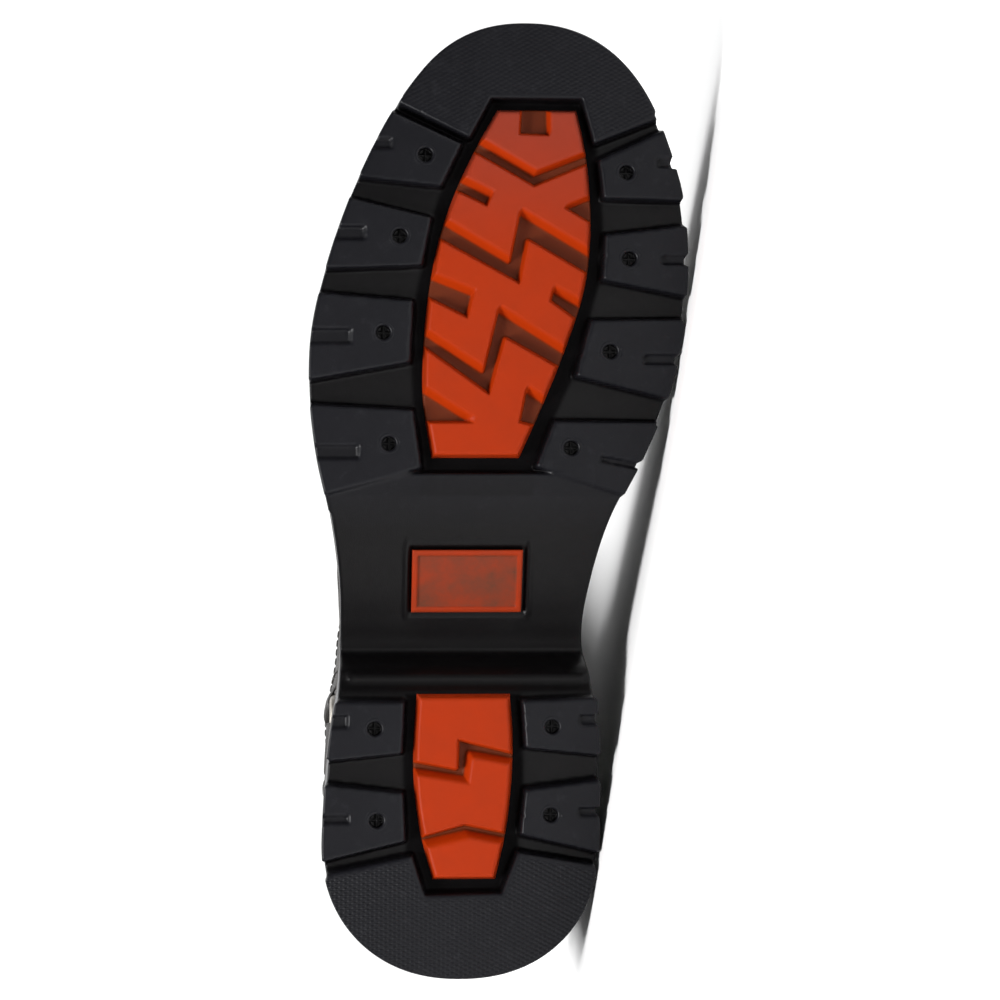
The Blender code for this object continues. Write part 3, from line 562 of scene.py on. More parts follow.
def underside(x, y):
    """Height, share of depth below the tread faces, and pad share, of the sole's underside at each (x, y).

    The floor rises to the tread's level by a soft ramp over the draft outside each lug or pad.  Slots and
    dimples sink back into the lugs, the breast carries a half-round bar, and the plate's pocket has a raised
    border.  In the trough round the inserts the share of depth goes on from 1 to 2.
    """
    floor, face = underside_level(x), tread_level(x)
    reach = [near_distance(x, y, outline) for outline in LUG_OUTLINES + PAD_OUTLINES]
    lift = ease(1.0 + np.max(reach, axis=0) / LUG_DRAFT)
    pad = np.maximum(TOE_PAD_RELIEF * ease(reach[-2] - PAD_MARGIN), ease(reach[-1] - PAD_MARGIN))
    bar = ease(1.0 - np.abs(x - BAR_MIDDLE) / BAR_HALF)
    bar = bar * ease((y - BAR_LATERAL) / BAR_FADE) * ease((BAR_MEDIAL - y) / BAR_FADE)
    pocket = near_distance(x, y, POCKET)
    border = ease(1.0 - np.abs(pocket + BORDER_WIDTH) / BORDER_WIDTH)
    floor = floor - BAR_RISE * bar + PLATE_POCKET * ease(pocket / WALL_DRAFT) - BORDER_RISE * border
    height = floor + (face - floor) * lift
    for lug, outline in zip(LUGS, SLOT_OUTLINES):
        height = height + SLOT_DEPTH * ease(near_distance(x, y, outline) / SLOT_DRAFT) * lift
        from_dimple = np.hypot(x - lug.dimple_x, y - lug.dimple_y)
        height = height + DIMPLE_DEPTH * ease((DIMPLE_HOLE - from_dimple) / WALL_DRAFT)
    depth = np.clip((height - face) / LUG_DEPTH, 0.0, 1.0) * (1.0 + trough(x, y))
    return height, depth, pad


print("lug walls slope over", LUG_DRAFT, "mm")

# %% [markdown]
# ## The unit sole
# The whole sole is one closed skin: at each station along the boot a loop runs across the tread, up the
# medial side, back over the seat and down the lateral side.  Stations are close where the tread is busy and
# far apart in the plain waist.  On the medial side the lugs stand a little proud, so the edge steps in and
# out along the boot; the lateral edge of the forefoot runs on smoothly.

# %% Outsole: stations and edges
STATION_STEPS = [Level(*row) for row in (
    (0, 0.02), (8, 0.62), (90, 0.62), (92, 0.35), (106, 0.35),
    (110, 1.4), (150, 1.4), (156, 0.62), (304, 0.62), (312, 0.02),
)]
ACROSS, SEAT_COLUMNS, SAMPLES = 150, 4, 20000
CORNER, EDGE_FADE = 0.5, 0.8
SLOT_NICK, SLOT_TO_EDGE = 1.3, 10.0
SMOOTH_FROM, SMOOTH_SHARE = 152.0, 0.25
LEDGE_OVER_LUGS, LEDGE_LEAST, LEDGE_HALF, LOW_ROUND = 1.0, 1.2, 0.3, 0.4


def stations():
    """Places along the sole, spaced by the table of steps: the running sum of 1/step, inverted."""
    fine = np.linspace(0.0, SOLE_LENGTH, SAMPLES)
    density = 1.0 / np.interp(fine, *zip(*STATION_STEPS))
    count = running((density[1:] + density[:-1]) / 2.0 * np.diff(fine))
    return np.interp(np.linspace(0.0, count[-1], int(count[-1])), count, fine)


def run_depth(x, runs):
    """How far x lies inside the nearest of several runs along the sole's edge, negative outside them."""
    return np.max([np.minimum(x - low, high - x) for low, high in runs], axis=0)


def edge_step(x, number):
    """Inset of a side of the sole under the groove level: none on a lug or pad, the base's between them.

    The lateral edge runs smoothly past the forefoot's grooves; on the medial one each slot makes a nick.
    """
    lugs = [lug for lug in LUGS if lug.side == SIDES[number]]
    runs = [(lug.outer_rear, lug.outer_front) for lug in lugs]
    runs += [(TOE_PAD_SIDES[number], SOLE_LENGTH + EDGE_MARGIN), (-EDGE_MARGIN, HEEL_PAD_SIDES[number])]
    inset = BASE_INSET * (1.0 - ease(run_depth(x, runs) / EDGE_FADE))
    if SIDES[number] == "lateral":
        return inset * np.where(x > SMOOTH_FROM, SMOOTH_SHARE, 1.0)
    leans = [SLOT_TO_EDGE * lug.slot_lean for lug in lugs]
    slots = [(lug.slot_rear + lean, lug.slot_front + lean) for lug, lean in zip(lugs, leans)]
    return np.maximum(inset, SLOT_NICK * ease(run_depth(x, slots) / EDGE_FADE))


def shrunk(x, inset):
    """Stations drawn in at both ends by an inset, so that an inset ring keeps its shape."""
    return inset + (SOLE_LENGTH - 2.0 * inset) * x / SOLE_LENGTH


print("stations along the sole:", len(stations()))

# %% Outsole: the closed skin


def side_column(x, step, low, number):
    """One side of the sole from its bottom corner to the seat: lug part, ledge, plain side, top corner."""
    ledge = np.maximum(tread_level(x) + LUG_DEPTH + LEDGE_OVER_LUGS, low + LEDGE_LEAST)
    seat = seat_level(x)
    rows = ((step, low + LOW_ROUND), (step, (low + ledge) / 2.0), (step, ledge - LEDGE_HALF),
            (BASE_INSET, ledge + LEDGE_HALF), (BASE_INSET, (ledge + seat) / 2.0),
            (BASE_INSET, seat - CORNER), (BASE_INSET + CORNER, seat))
    points = []
    for inset, z in rows:
        at = shrunk(x, inset)
        points.append(xyz(at, plan_edges(at, inset)[number], z))
    return np.stack(points, axis=1)


def make_outsole():
    """The closed skin of the sole, with the depth and pad shares for its finish."""
    x = stations()
    steps = [edge_step(x, number) for number in (0, 1)]
    lateral, medial = (plan_edges(shrunk(x, step + CORNER), step + CORNER)[number]
                       for number, step in enumerate(steps))
    y = between(lateral, medial, ACROSS)
    wide = np.broadcast_to(shrunk(x, CORNER + sum(steps) / 2.0)[:, None], y.shape)
    height, depth, pad = underside(wide, y)
    lateral_side, medial_side = (side_column(x, steps[number], height[:, column], number)
                                 for number, column in ((0, 0), (1, -1)))
    over = np.linspace(0.0, 1.0, SEAT_COLUMNS + 2)[1:-1, None]
    seat = medial_side[:, -1:] * (1.0 - over) + lateral_side[:, -1:] * over
    loops = np.concatenate([xyz(wide, y, height), medial_side, seat, lateral_side[:, ::-1]], axis=1)
    plain = ((0, 0), (0, loops.shape[1] - ACROSS))
    faces = grid_faces(*loops.shape[:2], round_columns=True)
    add_piece("outsole_moulding", loops, faces, BLACK_RUBBER, "black_rubber", ("outsole",),
              depth=np.pad(depth, plain), pad=np.pad(pad, plain))


make_outsole()

# %% [markdown]
# ## Dimples in the lugs
# Each lug has a small round dimple with a cross in its floor.  It is finer than the sole's grid, so each is
# a tiny turned solid of its own, set in a hole that the height field leaves for it.

# %% Lug dimples
DIMPLE_PROFILE = ((3.8, 3.8), (3.8, 0.2), (3.5, 0.0), (3.2, -0.03), (2.82, -0.03), (2.4, 0.19), (2.3, 0.5),
                  (2.2, 3.2), (1.9, 3.4), (1.4, 3.4), (0.9, 3.4), (0.4, 3.4), (0.0, 3.4))
DIMPLE_AROUND = 48
DIMPLE_FLOOR = 2.1
CROSS_HALF, CROSS_DRAFT, CROSS_RISE = 0.25, 0.25, 0.25


def make_dimples():
    """Turned profile round each dimple's centre, its floor raised where the two bars of a cross run."""
    turn = full_turn(DIMPLE_AROUND)
    radius, sunk = (np.array(column)[:, None] for column in zip(*DIMPLE_PROFILE))
    across, along = radius * np.cos(turn), radius * np.sin(turn)
    bars = np.maximum(*(ease((CROSS_HALF - np.abs(way)) / CROSS_DRAFT + 1.0) for way in (across, along)))
    sunk = sunk - CROSS_RISE * bars * (radius < DIMPLE_FLOOR)
    closing = np.zeros((1, DIMPLE_AROUND))
    across, along = np.concatenate([closing, across]), np.concatenate([closing, along])
    sunk = np.concatenate([closing + DIMPLE_PROFILE[0][1], sunk])
    middle = np.array([(lug.dimple_x, lug.dimple_y) for lug in LUGS])[:, None, None, :]
    x, y = middle[..., 0] + along, middle[..., 1] + across
    faces = grid_faces(*sunk.shape, round_columns=True, copies=len(LUGS))
    # The depth share darkens the hole and its walls as painted shade.
    depth = np.broadcast_to(np.clip(sunk, 0.0, 1.0), x.shape)
    add_piece("lug_dimples", xyz(x, y, tread_level(x) + sunk), faces, BLACK_RUBBER, "black_rubber", (),
              depth=depth, pad=np.zeros(x.size))


make_dimples()

# %% [markdown]
# ## Orange inserts
# Each insert is a closed slab whose face is again a height field: zigzag grooves sink into it with sloping
# walls, and its rim slopes down to the black floor round it.  The grid is finer here, because the bright
# colour shows every edge.

# %% Inserts: outlines and grooves
FOREFOOT_INSERT = [Edge(*row) for row in (
    (169.2, -9.4, 19.2), (188, -12.2, 27.6), (206, -12.0, 34.8), (225, -10.0, 40.7),
    (240, -7.0, 42.5), (256, -1.5, 42.4), (272, 6.1, 40.7), (283.2, 12.4, 38.3),
)]
HEEL_INSERT = [Edge(*row) for row in (
    (32, -9.1, 11.4), (47, -13.0, 14.7), (64, -15.2, 16.7), (78, -15.2, 17.1), (92.3, -14.2, 16.2),
)]
FOREFOOT_GROOVES = {
    "toe_notch": ((285.0, 19.5), (285.0, 29.3), (274.0, 29.4), (274.4, 18.8)),
    "chevron": ((274.5, 3.0), (262.0, 24.0), (269.5, 43.0), (265.0, 43.0), (257.1, 24.0), (270.5, 0.5)),
    "lateral_slot_1": ((262.0, -4.0), (254.5, 10.7), (250.6, 8.8), (257.0, -4.5)),
    "medial_wedge": ((250.6, 33.1), (255.5, 45.0), (243.5, 45.0)),
    "zigzag_front": ((248.0, -9.0), (233.4, 15.4), (249.6, 18.8), (233.5, 45.5),
                     (226.3, 45.0), (239.6, 22.1), (225.3, 19.3), (241.4, -10.0)),
    "lateral_slot_2": ((229.3, -13.0), (222.4, 4.5), (214.2, 2.3), (222.0, -13.6)),
    "medial_slot": ((224.3, 29.5), (217.0, 42.7), (211.5, 40.4), (220.1, 28.6)),
    "zigzag_rear": ((211.9, -14.8), (197.7, 6.8), (217.8, 11.7), (201.4, 37.7),
                    (195.0, 37.5), (207.7, 14.6), (189.2, 9.4), (206.8, -15.3)),
    "lateral_wedge": ((193.0, -15.0), (180.2, 4.9), (180.2, -15.0)),
    "medial_notch": ((191.8, 20.8), (185.6, 30.2), (178.4, 26.6), (180.5, 18.5)),
}
HEEL_GROOVES = {
    "heel_zigzag": ((71.8, -18.5), (68.5, -1.6), (78.2, -1.3), (73.1, 19.5),
                    (69.9, 19.5), (73.0, 2.9), (64.6, 1.8), (67.9, -18.5)),
    "heel_chevron": ((45.8, -15.7), (50.6, 1.3), (47.1, 17.9), (43.9, 17.6), (47.1, 1.3), (43.4, -15.3)),
}
print("grooves in the inserts:", len(FOREFOOT_GROOVES) + len(HEEL_GROOVES))

# %% Inserts: slabs
INSERT_BELOW_LUGS, GROOVE_DEPTH = 0.4, 4.2
GROOVE_DRAFT, RIM_DRAFT, WALL_STEPS = 1.3, 1.3, 9
FOREFOOT_WALL, HEEL_WALL = (2.3, 1.3), (-2.4, 1.7)
BEVEL_SLOPE, BEVEL_REACH = 0.5, 1.9
INSERT_CELL, OUTLINE_STEPS = 0.38, 40
INSERT_SCUFF = 0.12
BACK_POINTS = ((0, 0), (0, 2))


def add_slab(name, x, y, face, back, node, **marks):
    """Closed slab of orange rubber: a grid for its face, and two lines of points for its back."""
    ends = np.stack([xyz(x[:, column], y[:, column], back) for column in (-1, 0)], axis=1)
    loops = np.concatenate([xyz(x, y, face), ends], axis=1)
    add_piece(name, loops, loop_faces(*loops.shape[:2]), ORANGE_RUBBER, "orange_rubber", (node,), **marks)


def make_insert(name, table, grooves, node, wall):
    """Slab with a height field for its face: the deepest of its steep side, its bevel and the grooves.

    A groove has a steep wall on one side and a long one on the other: copies of its outline move step by
    step along the wall's direction, each less deep than the last, and the deepest of them counts.
    """
    first, last = table[0].x, table[-1].x
    ends = np.linspace(first, last, OUTLINE_STEPS)
    lateral, medial = smooth(table, "lateral", ends), smooth(table, "medial", ends)
    from_rear = np.linspace(first, last, int((last - first) / INSERT_CELL))
    y = between(smooth(table, "lateral", from_rear), smooth(table, "medial", from_rear),
                int((medial - lateral).max() / INSERT_CELL))
    x = np.broadcast_to(from_rear[:, None], y.shape)
    face, floor = tread_level(x) + INSERT_BELOW_LUGS, tread_level(x) + LUG_DEPTH - GAP
    from_edge = inside_distance(x, y, [*zip(ends, lateral), *zip(ends[::-1], medial[::-1])])
    sunk = (1.0 - ease(from_edge / RIM_DRAFT)) * (floor - face - GAP)
    sunk = np.maximum(sunk, BEVEL_SLOPE * np.clip(BEVEL_REACH - from_edge, 0.0, None))
    cut = np.zeros(x.shape)
    for groove in grooves.values():
        for way in np.linspace(0.0, 1.0, WALL_STEPS, endpoint=False):
            copy = near_distance(x - way * wall[0], y - way * wall[1], groove)
            cut = np.maximum(cut, GROOVE_DEPTH * (1.0 - way) * ease(copy / GROOVE_DRAFT))
    depth = np.pad(cut / GROOVE_DEPTH, BACK_POINTS, constant_values=1.0)
    add_slab(name, x, y, face + np.maximum(sunk, cut), floor[:, 0], node,
             depth=depth, scuff=np.full(depth.shape, INSERT_SCUFF))


make_insert("forefoot_tread_insert", FOREFOOT_INSERT, FOREFOOT_GROOVES, "forefoot_insert", FOREFOOT_WALL)
make_insert("heel_tread_insert", HEEL_INSERT, HEEL_GROOVES, "heel_insert", HEEL_WALL)

# %% [markdown]
# ## The plate in the waist
# A small plain plate lies in a pocket under the arch.  Its rim stands round a shallow recess, and the
# recess is scuffed, so it is browner than the inserts.

# %% Waist plate
PLATE_CELL, PLATE_ROUND = 0.4, 0.5
PLATE_SCUFF, RECESS_SCUFF = 0.5, 0.8


def make_plate():
    """Plate on the waist's slope: its face sinks inside the rim and rounds off at the outer edge."""
    at = np.linspace(PLATE_REAR, PLATE_FRONT, int((PLATE_FRONT - PLATE_REAR) / PLATE_CELL))
    across = np.linspace(PLATE_LATERAL, PLATE_MEDIAL, int((PLATE_MEDIAL - PLATE_LATERAL) / PLATE_CELL))
    x, y = np.meshgrid(at, across, indexing="ij")
    from_edge = np.minimum.reduce([x - PLATE_REAR, PLATE_FRONT - x, y - PLATE_LATERAL, PLATE_MEDIAL - y])
    recess, rounding = ease((from_edge - PLATE_RIM) / PLATE_ROUND), 1.0 - ease(from_edge / PLATE_ROUND)
    back = underside_level(at) + PLATE_POCKET - GAP
    face = underside_level(x) + PLATE_POCKET - GAP - PLATE_THICKNESS
    face = face + PLATE_RECESS * recess + PLATE_ROUND * rounding
    scuff = np.pad(PLATE_SCUFF + RECESS_SCUFF * recess, BACK_POINTS)
    add_slab("waist_plate_moulding", x, y, face, back, "waist_plate",
             depth=np.zeros(scuff.size), scuff=scuff)


make_plate()

# %% [markdown]
# ## Leather
# Upper, straps and welt are oiled black leather.  Its grain is a net of small pebbles with fine furrows
# between them, too small to model, so a net of cells is used as a bump.  Oil leaves soft cloudy patches,
# and the bottoms of creases and the welt's channel are painted darker and duller as painted shade, while
# the straps' burnished edges are darker too.  One function makes all three, and the insole's plain
# leather too, because they differ only in colour, grain and shine.

# %% Leather finishes
# Real pores are finer than this: they are drawn as coarse as they need to show.
PATCH_SIZE, PORE_SIZE = 26.0, 0.4
PATCHES = {"Scale": 1.0 / PATCH_SIZE, "Detail": 6.0, "Roughness": 0.6}
PORES = {"Scale": 1.0 / PORE_SIZE, "Detail": 2.0}
FURROWS = {"From Max": 0.28}
DULLING = {"From Min": 0.2, "From Max": 1.3, "To Max": 0.8}
PORE_BUMP = {"Strength": 0.3, "Distance": 0.08 * MM}
PEBBLE_BUMP = {"Strength": 0.55, "Distance": 0.16 * MM}
# Colour of the painted shade in crease bottoms and the welt's channel, and of the straps' burnished edges.
SHADE_AND_BURNISH_COLOUR, LEATHER_SPECULAR = "#0b0a0a", 0.3


def oiled_leather(name, dark, pale, lining, pebble_size, shine):
    """Grained leather: cloudy colour, darker in low places, with the lining's colour on its inner face."""
    surface, node, shader = new_finish(name)
    boot = node("Attribute", {}, "Vector", attribute_name="boot")
    low, inner = (node("Attribute", {}, "Fac", attribute_name=mark) for mark in ("low", "inner"))
    patches = node("TexNoise", {"Vector": boot, **PATCHES})
    pores = node("TexNoise", {"Vector": boot, **PORES})
    cells = {"Vector": boot, "Scale": 1.0 / pebble_size}
    pebbles = node("TexVoronoi", cells, "Distance", feature="DISTANCE_TO_EDGE")
    pebbles = node("MapRange", {"Value": pebbles, **FURROWS}, interpolation_type="SMOOTHSTEP")
    dull = node("Math", {0: low, 1: inner}, operation="MAXIMUM")
    dull = node("Math", {0: dull, 1: patches}, operation="ADD")
    bump = node("Bump", {"Height": pores, **PORE_BUMP})
    tint = linear(dark)
    # The low share paints shade in crease bottoms and the welt's channel; on the straps it darkens the
    # burnished edges.
    for share, over in ((patches, pale), (low, SHADE_AND_BURNISH_COLOUR), (inner, lining)):
        tint = node("Mix", {FACTOR: share, COLOUR_A: tint, COLOUR_B: linear(over)}, MIXED, data_type="RGBA")
    shader({
        "Base Color": tint,
        "Roughness": node("MapRange", {"Value": dull, "To Min": shine, **DULLING}),
        "Specular IOR Level": LEATHER_SPECULAR,
        "Normal": node("Bump", {"Height": pebbles, "Normal": bump, **PEBBLE_BUMP}),
    })
    return surface


UPPER_LEATHER = oiled_leather("oiled_black_leather", "#0f0e0e", "#191716", "#3a322b", 1.5, 0.34)
STRAP_LEATHER = oiled_leather("burnished_strap_leather", "#0f0d0b", "#1a1512", "#2a211b", 0.9, 0.36)
WELT_LEATHER = oiled_leather("dressed_welt_leather", "#2b2826", "#413c38", "#2b2826", 0.7, 0.42)
INSOLE_LEATHER = oiled_leather("vegetable_tanned_insole", "#7a5a40", "#8d6a4b", "#7a5a40", 0.8, 0.6)
print("leathers:", UPPER_LEATHER.name, STRAP_LEATHER.name, WELT_LEATHER.name, INSOLE_LEATHER.name)

# %% [markdown]
# ## Thread and nickel
# The seams are sewn with waxed thread: dark and slightly shiny, with a fine twist.  The rings are steel with
# a nickel plate: a metal takes its colour from what it mirrors, so only a few dull spots are needed.

# %% Thread and nickel finishes
# The thread's twist is finer than this: it is drawn as coarse as it needs to show.
TWIST_SIZE, SPOT_SIZE = 0.5, 3.0
TWIST = {"Scale": 1.0 / TWIST_SIZE}
TWIST_BUMP = {"Strength": 0.4, "Distance": 0.1 * MM}
THREAD_ROUGHNESS = 0.5
SPOTS = {"Scale": 1.0 / SPOT_SIZE, "Detail": 6.0, "Roughness": 0.7}
POLISH = {"To Min": 0.2, "To Max": 0.42}


def waxed_thread():
    """Dark waxed thread with a fine twist."""
    surface, node, shader = new_finish("waxed_linen_thread")
    boot = node("Attribute", {}, "Vector", attribute_name="boot")
    twist = node("TexNoise", {"Vector": boot, **TWIST})
    colours = {FACTOR: twist, COLOUR_A: linear("#1d1b19"), COLOUR_B: linear("#3a3733")}
    shader({
        "Base Color": node("Mix", colours, MIXED, data_type="RGBA"),
        "Roughness": THREAD_ROUGHNESS,
        "Normal": node("Bump", {"Height": twist, **TWIST_BUMP}),
    })
    return surface


def nickel_plate():
    """Nickel-plated steel, polished, with duller spots."""
    surface, node, shader = new_finish("nickel_plated_steel")
    boot = node("Attribute", {}, "Vector", attribute_name="boot")
    spots = node("TexNoise", {"Vector": boot, **SPOTS})
    colours = {FACTOR: spots, COLOUR_A: linear("#aaa69e"), COLOUR_B: linear("#78726a")}
    shader({
        "Base Color": node("Mix", colours, MIXED, data_type="RGBA"),
        "Metallic": 1.0,
        "Roughness": node("MapRange", {"Value": spots, **POLISH}),
    })
    return surface


THREAD, NICKEL = waxed_thread(), nickel_plate()
print("finishes:", THREAD.name, NICKEL.name)

# %% [markdown]
# ## The skin of the upper
# The upper is one leather wall from the sole to the collar.  A table gives its side view, section by
# section up the leg, and the sole's own outline gives its width at the foot.  Here the skin is a function
# of height and of the turn round the boot, so its normal can be had from two small steps, and everything
# sewn or strapped on can use it too.  A shallow hollow on the lateral side, in front of the ankle bone,
# keeps the leather out of sight beside the waist.

# %% Upper: sections
Section = namedtuple("Section", "z back front back_round front_round lateral medial")
BOOT_HEIGHT, UPPER_WALL = 300.0, 2.2
SECTIONS = [Section(*row) for row in (
    (10, 7.5, 304.5, 37.5, 38.5, 38.0, 40.0), (28, 7.5, 304.5, 37.5, 38.5, 38.0, 40.0),
    (36, 7.5, 305.4, 37.5, 40.0, 38.0, 40.0), (45, 7.5, 304.6, 37.5, 43.0, 38.0, 40.0),
    (49, 7.5, 303.2, 37.5, 45.0, 38.0, 40.0), (56, 6.2, 298.6, 38.0, 51.0, 38.0, 40.0),
    (63, 4.8, 289.5, 38.0, 61.0, 37.5, 39.5), (70, 4.2, 273.0, 39.0, 74.0, 37.0, 39.0),
    (77, 4.4, 250.0, 40.0, 83.0, 37.0, 39.0), (85, 5.1, 229.0, 41.0, 86.0, 37.0, 39.0),
    (95, 6.6, 208.5, 42.5, 84.0, 37.0, 39.0), (108, 9.4, 186.5, 45.0, 79.0, 37.5, 39.5),
    (123, 12.6, 166.5, 49.0, 73.0, 38.5, 40.5), (140, 15.0, 150.5, 53.0, 67.0, 40.0, 42.0),
    (160, 16.0, 139.5, 57.0, 62.5, 40.6, 43.5), (185, 15.0, 133.0, 59.0, 59.0, 40.9, 46.0),
    (220, 11.5, 131.5, 60.0, 60.0, 41.0, 49.5), (260, 7.0, 134.0, 63.0, 63.5, 41.0, 53.0),
    (300, 3.0, 138.0, 67.0, 68.0, 40.6, 56.0),
)]
print("upper length at the sole:", SECTIONS[1].front - SECTIONS[1].back, "mm")

# %% Upper: skin
BLEND_AT_LEG, BLEND_AT_TOES, LEG_END_X, TOES_START_X = 100.0, 165.0, 150.0, 235.0
HEIGHT_STEP, TURN_STEP = 0.2, 0.004
HOLLOW_X, HOLLOW_Z, HOLLOW_LEAN = 110.0, 105.0, -0.12
HOLLOW_DEPTH, HOLLOW_REACH, HOLLOW_START, HOLLOW_FADE = 3.2, 16.0, 65.0, 35.0


def ankle_hollow(x, z):
    """Depth of the long soft hollow in front of the ankle bone and up the shaft: a bell curve across it."""
    away = x - HOLLOW_X - HOLLOW_LEAN * (z - HOLLOW_Z)
    return HOLLOW_DEPTH * np.exp(-(away / HOLLOW_REACH) ** 2) * ease((z - HOLLOW_START) / HOLLOW_FADE)


def upper_edges(x, z, offset=0.0):
    """Lateral and medial y of the upper at (x, z), or of the same form grown by an offset.

    The sole's outline blends with height into the leg's half widths, and both are rounded off to back and
    front.  The lateral side, which lies uppermost, sags into the ankle's hollow.
    """
    reach = np.clip((x - LEG_END_X) / (TOES_START_X - LEG_END_X), 0.0, 1.0)
    blend = ease((z - seat_level(x)) / (BLEND_AT_LEG + (BLEND_AT_TOES - BLEND_AT_LEG) * reach))
    foot_lateral = smooth(OUTLINE, "lateral", x) + FEATHER_INSET
    foot_medial = smooth(OUTLINE, "medial", x) - FEATHER_INSET
    lateral = foot_lateral * (1.0 - blend) - smooth(SECTIONS, "lateral", z) * blend - offset
    medial = foot_medial * (1.0 - blend) + smooth(SECTIONS, "medial", z) * blend + offset
    centre = (lateral + medial) / 2.0
    cap = (end_cap(x - smooth(SECTIONS, "back", z) + offset, smooth(SECTIONS, "back_round", z) + offset)
           * end_cap(smooth(SECTIONS, "front", z) + offset - x, smooth(SECTIONS, "front_round", z) + offset))
    return centre + (lateral - centre) * cap + ankle_hollow(x, z), centre + (medial - centre) * cap


def slice_point(z, turn):
    """Point of the plain skin: x swings from back to front and back, y is the edge on the turn's side."""
    back, front = smooth(SECTIONS, "back", z), smooth(SECTIONS, "front", z)
    x = back + (front - back) * to_and_fro(turn)
    lateral, medial = upper_edges(x, z)
    return xyz(x, np.where(np.sin(turn) > 0.0, lateral, medial), z)


def turn_at(x, z, medial):
    """Turn round the boot at which the slice at height z reaches x, on the lateral or the medial side."""
    back, front = smooth(SECTIONS, "back", z), smooth(SECTIONS, "front", z)
    turn = np.arccos(np.clip(1.0 - 2.0 * (x - back) / (front - back), -1.0, 1.0))
    return np.where(medial, 2.0 * math.pi - turn, turn)


def skin_normal(z, turn):
    """Outward normal of the plain skin: cross product of a small step round the boot and a small step up."""
    around = slice_point(z, turn + TURN_STEP) - slice_point(z, turn - TURN_STEP)
    upward = slice_point(z + HEIGHT_STEP, turn) - slice_point(z - HEIGHT_STEP, turn)
    return unit(np.cross(around, upward))


heel_tip = slice_point(np.array(BOOT_HEIGHT), np.array(0.0))
print("back of the collar:", np.round(heel_tip, 1).tolist())

# %% [markdown]
# ## Creases and seams
# Leather that has been walked in folds where the foot bends: across the vamp behind the toes, in front of
# the ankle and over the tendon above the heel.  A soft shaft that lies on its side sinks in broad waves.
# Each fold is given as a line in the side view, with a width and a depth, and pressed into the
# skin as a soft trough.  The front of the foot, the vamp, lies over the shaft with a cut edge.

# %% Upper: creases
Crease = namedtuple("Crease", "x_from z_from x_to z_to width depth")
Seam = namedtuple("Seam", "z x")
CREASES = [Crease(*row) for row in (
    (209, 96, 224, 52, 4.5, 1.6), (219, 91, 236, 56, 3.6, 1.1), (198, 101, 206, 66, 5.0, 1.2),
    (230, 86, 243, 66, 3.0, 0.7), (158, 134, 122, 113, 5.0, 1.4), (147, 147, 112, 133, 6.0, 1.9),
    (141, 160, 104, 156, 6.5, 1.7), (12, 119, 44, 113, 5.0, 1.3), (14, 134, 50, 140, 6.0, 1.6),
    (15, 152, 40, 162, 6.0, 1.2), (24, 188, 92, 172, 11.0, 2.2), (62, 206, 130, 196, 12.0, 2.4),
    (12, 226, 78, 240, 14.0, 2.4), (70, 256, 132, 246, 13.0, 1.8),
)]
SIDE_SHIFT, SIDE_WIDTH = 3.0, 40.0
VAMP_SEAM = [Seam(*row) for row in (
    (20, 96.5), (45, 98.0), (60, 100.0), (80, 104.0), (100, 111.0), (120, 122.0), (138, 134.0), (150, 142.4),
    (156, 148.0),
)]
VAMP_STEP, VAMP_EDGE, VAMP_FADE, VAMP_TOP, VAMP_TOP_FADE = 0.8, 0.5, 7.0, 160.0, 6.0
SIDE_SEAM = [Seam(*row) for row in ((128, 60.0), (180, 62.0), (240, 66.0), (300, 70.0))]
SEAM_DEPTH, SEAM_WIDTH, SEAM_FADE = 0.7, 1.3, 4.0


def pressed(skin):
    """Depth of all folds and seams at points of the skin: bell curves of the distance to each line."""
    x, y, z = np.moveaxis(skin, -1, 0)
    shifted = x + SIDE_SHIFT * np.clip(y / SIDE_WIDTH, -1.0, 1.0)
    depth = np.zeros(np.shape(x))
    for crease in CREASES:
        run_x, run_z = crease.x_to - crease.x_from, crease.z_to - crease.z_from
        along = ((shifted - crease.x_from) * run_x + (z - crease.z_from) * run_z) / (run_x ** 2 + run_z ** 2)
        along = np.clip(along, 0.0, 1.0)
        away = np.hypot(shifted - crease.x_from - along * run_x, z - crease.z_from - along * run_z)
        depth = depth + crease.depth * np.exp(-(away / crease.width) ** 2)
    behind = smooth(VAMP_SEAM, "x", z) - x
    under_vamp = (ease(behind + VAMP_EDGE) * np.exp(-np.clip(behind, 0.0, None) / VAMP_FADE)
                  * ease((VAMP_TOP - z) / VAMP_TOP_FADE))
    from_seam = (x - smooth(SIDE_SEAM, "x", z)) / SEAM_WIDTH
    side = np.exp(-from_seam ** 2) * ease((z - SIDE_SEAM[0].z) / SEAM_FADE)
    return depth + VAMP_STEP * under_vamp + SEAM_DEPTH * side


def worn_skin(z, turn, lift=0.0):
    """Point and normal of the creased skin, and its depth: pressed in along the normal, or lifted off it."""
    plain, normal = slice_point(z, turn), skin_normal(z, turn)
    depth = pressed(plain)
    return plain - normal * (depth - lift)[..., None], normal, depth


print("creases:", len(CREASES))

# %% Upper: the wall
Ring = namedtuple("Ring", "front back closeness")
RINGS = [Ring(*row) for row in (
    (23, 45, 1.0), (60, 76, 1.0), (80, 102, 1.0), (108, 130, 0.9), (150, 166, 0.7), (200, 207, 0.45),
    (300, 300, 0.4),
)]
SAG_FADE, CURVE_SAMPLES = 3, 400
SKIN_RINGS, SKIN_AROUND, LINING_RINGS, COLLAR_STEPS = 180, 260, 60, 5
DEEP_CREASE, DARKEST_CREASE = 3.0, 0.8


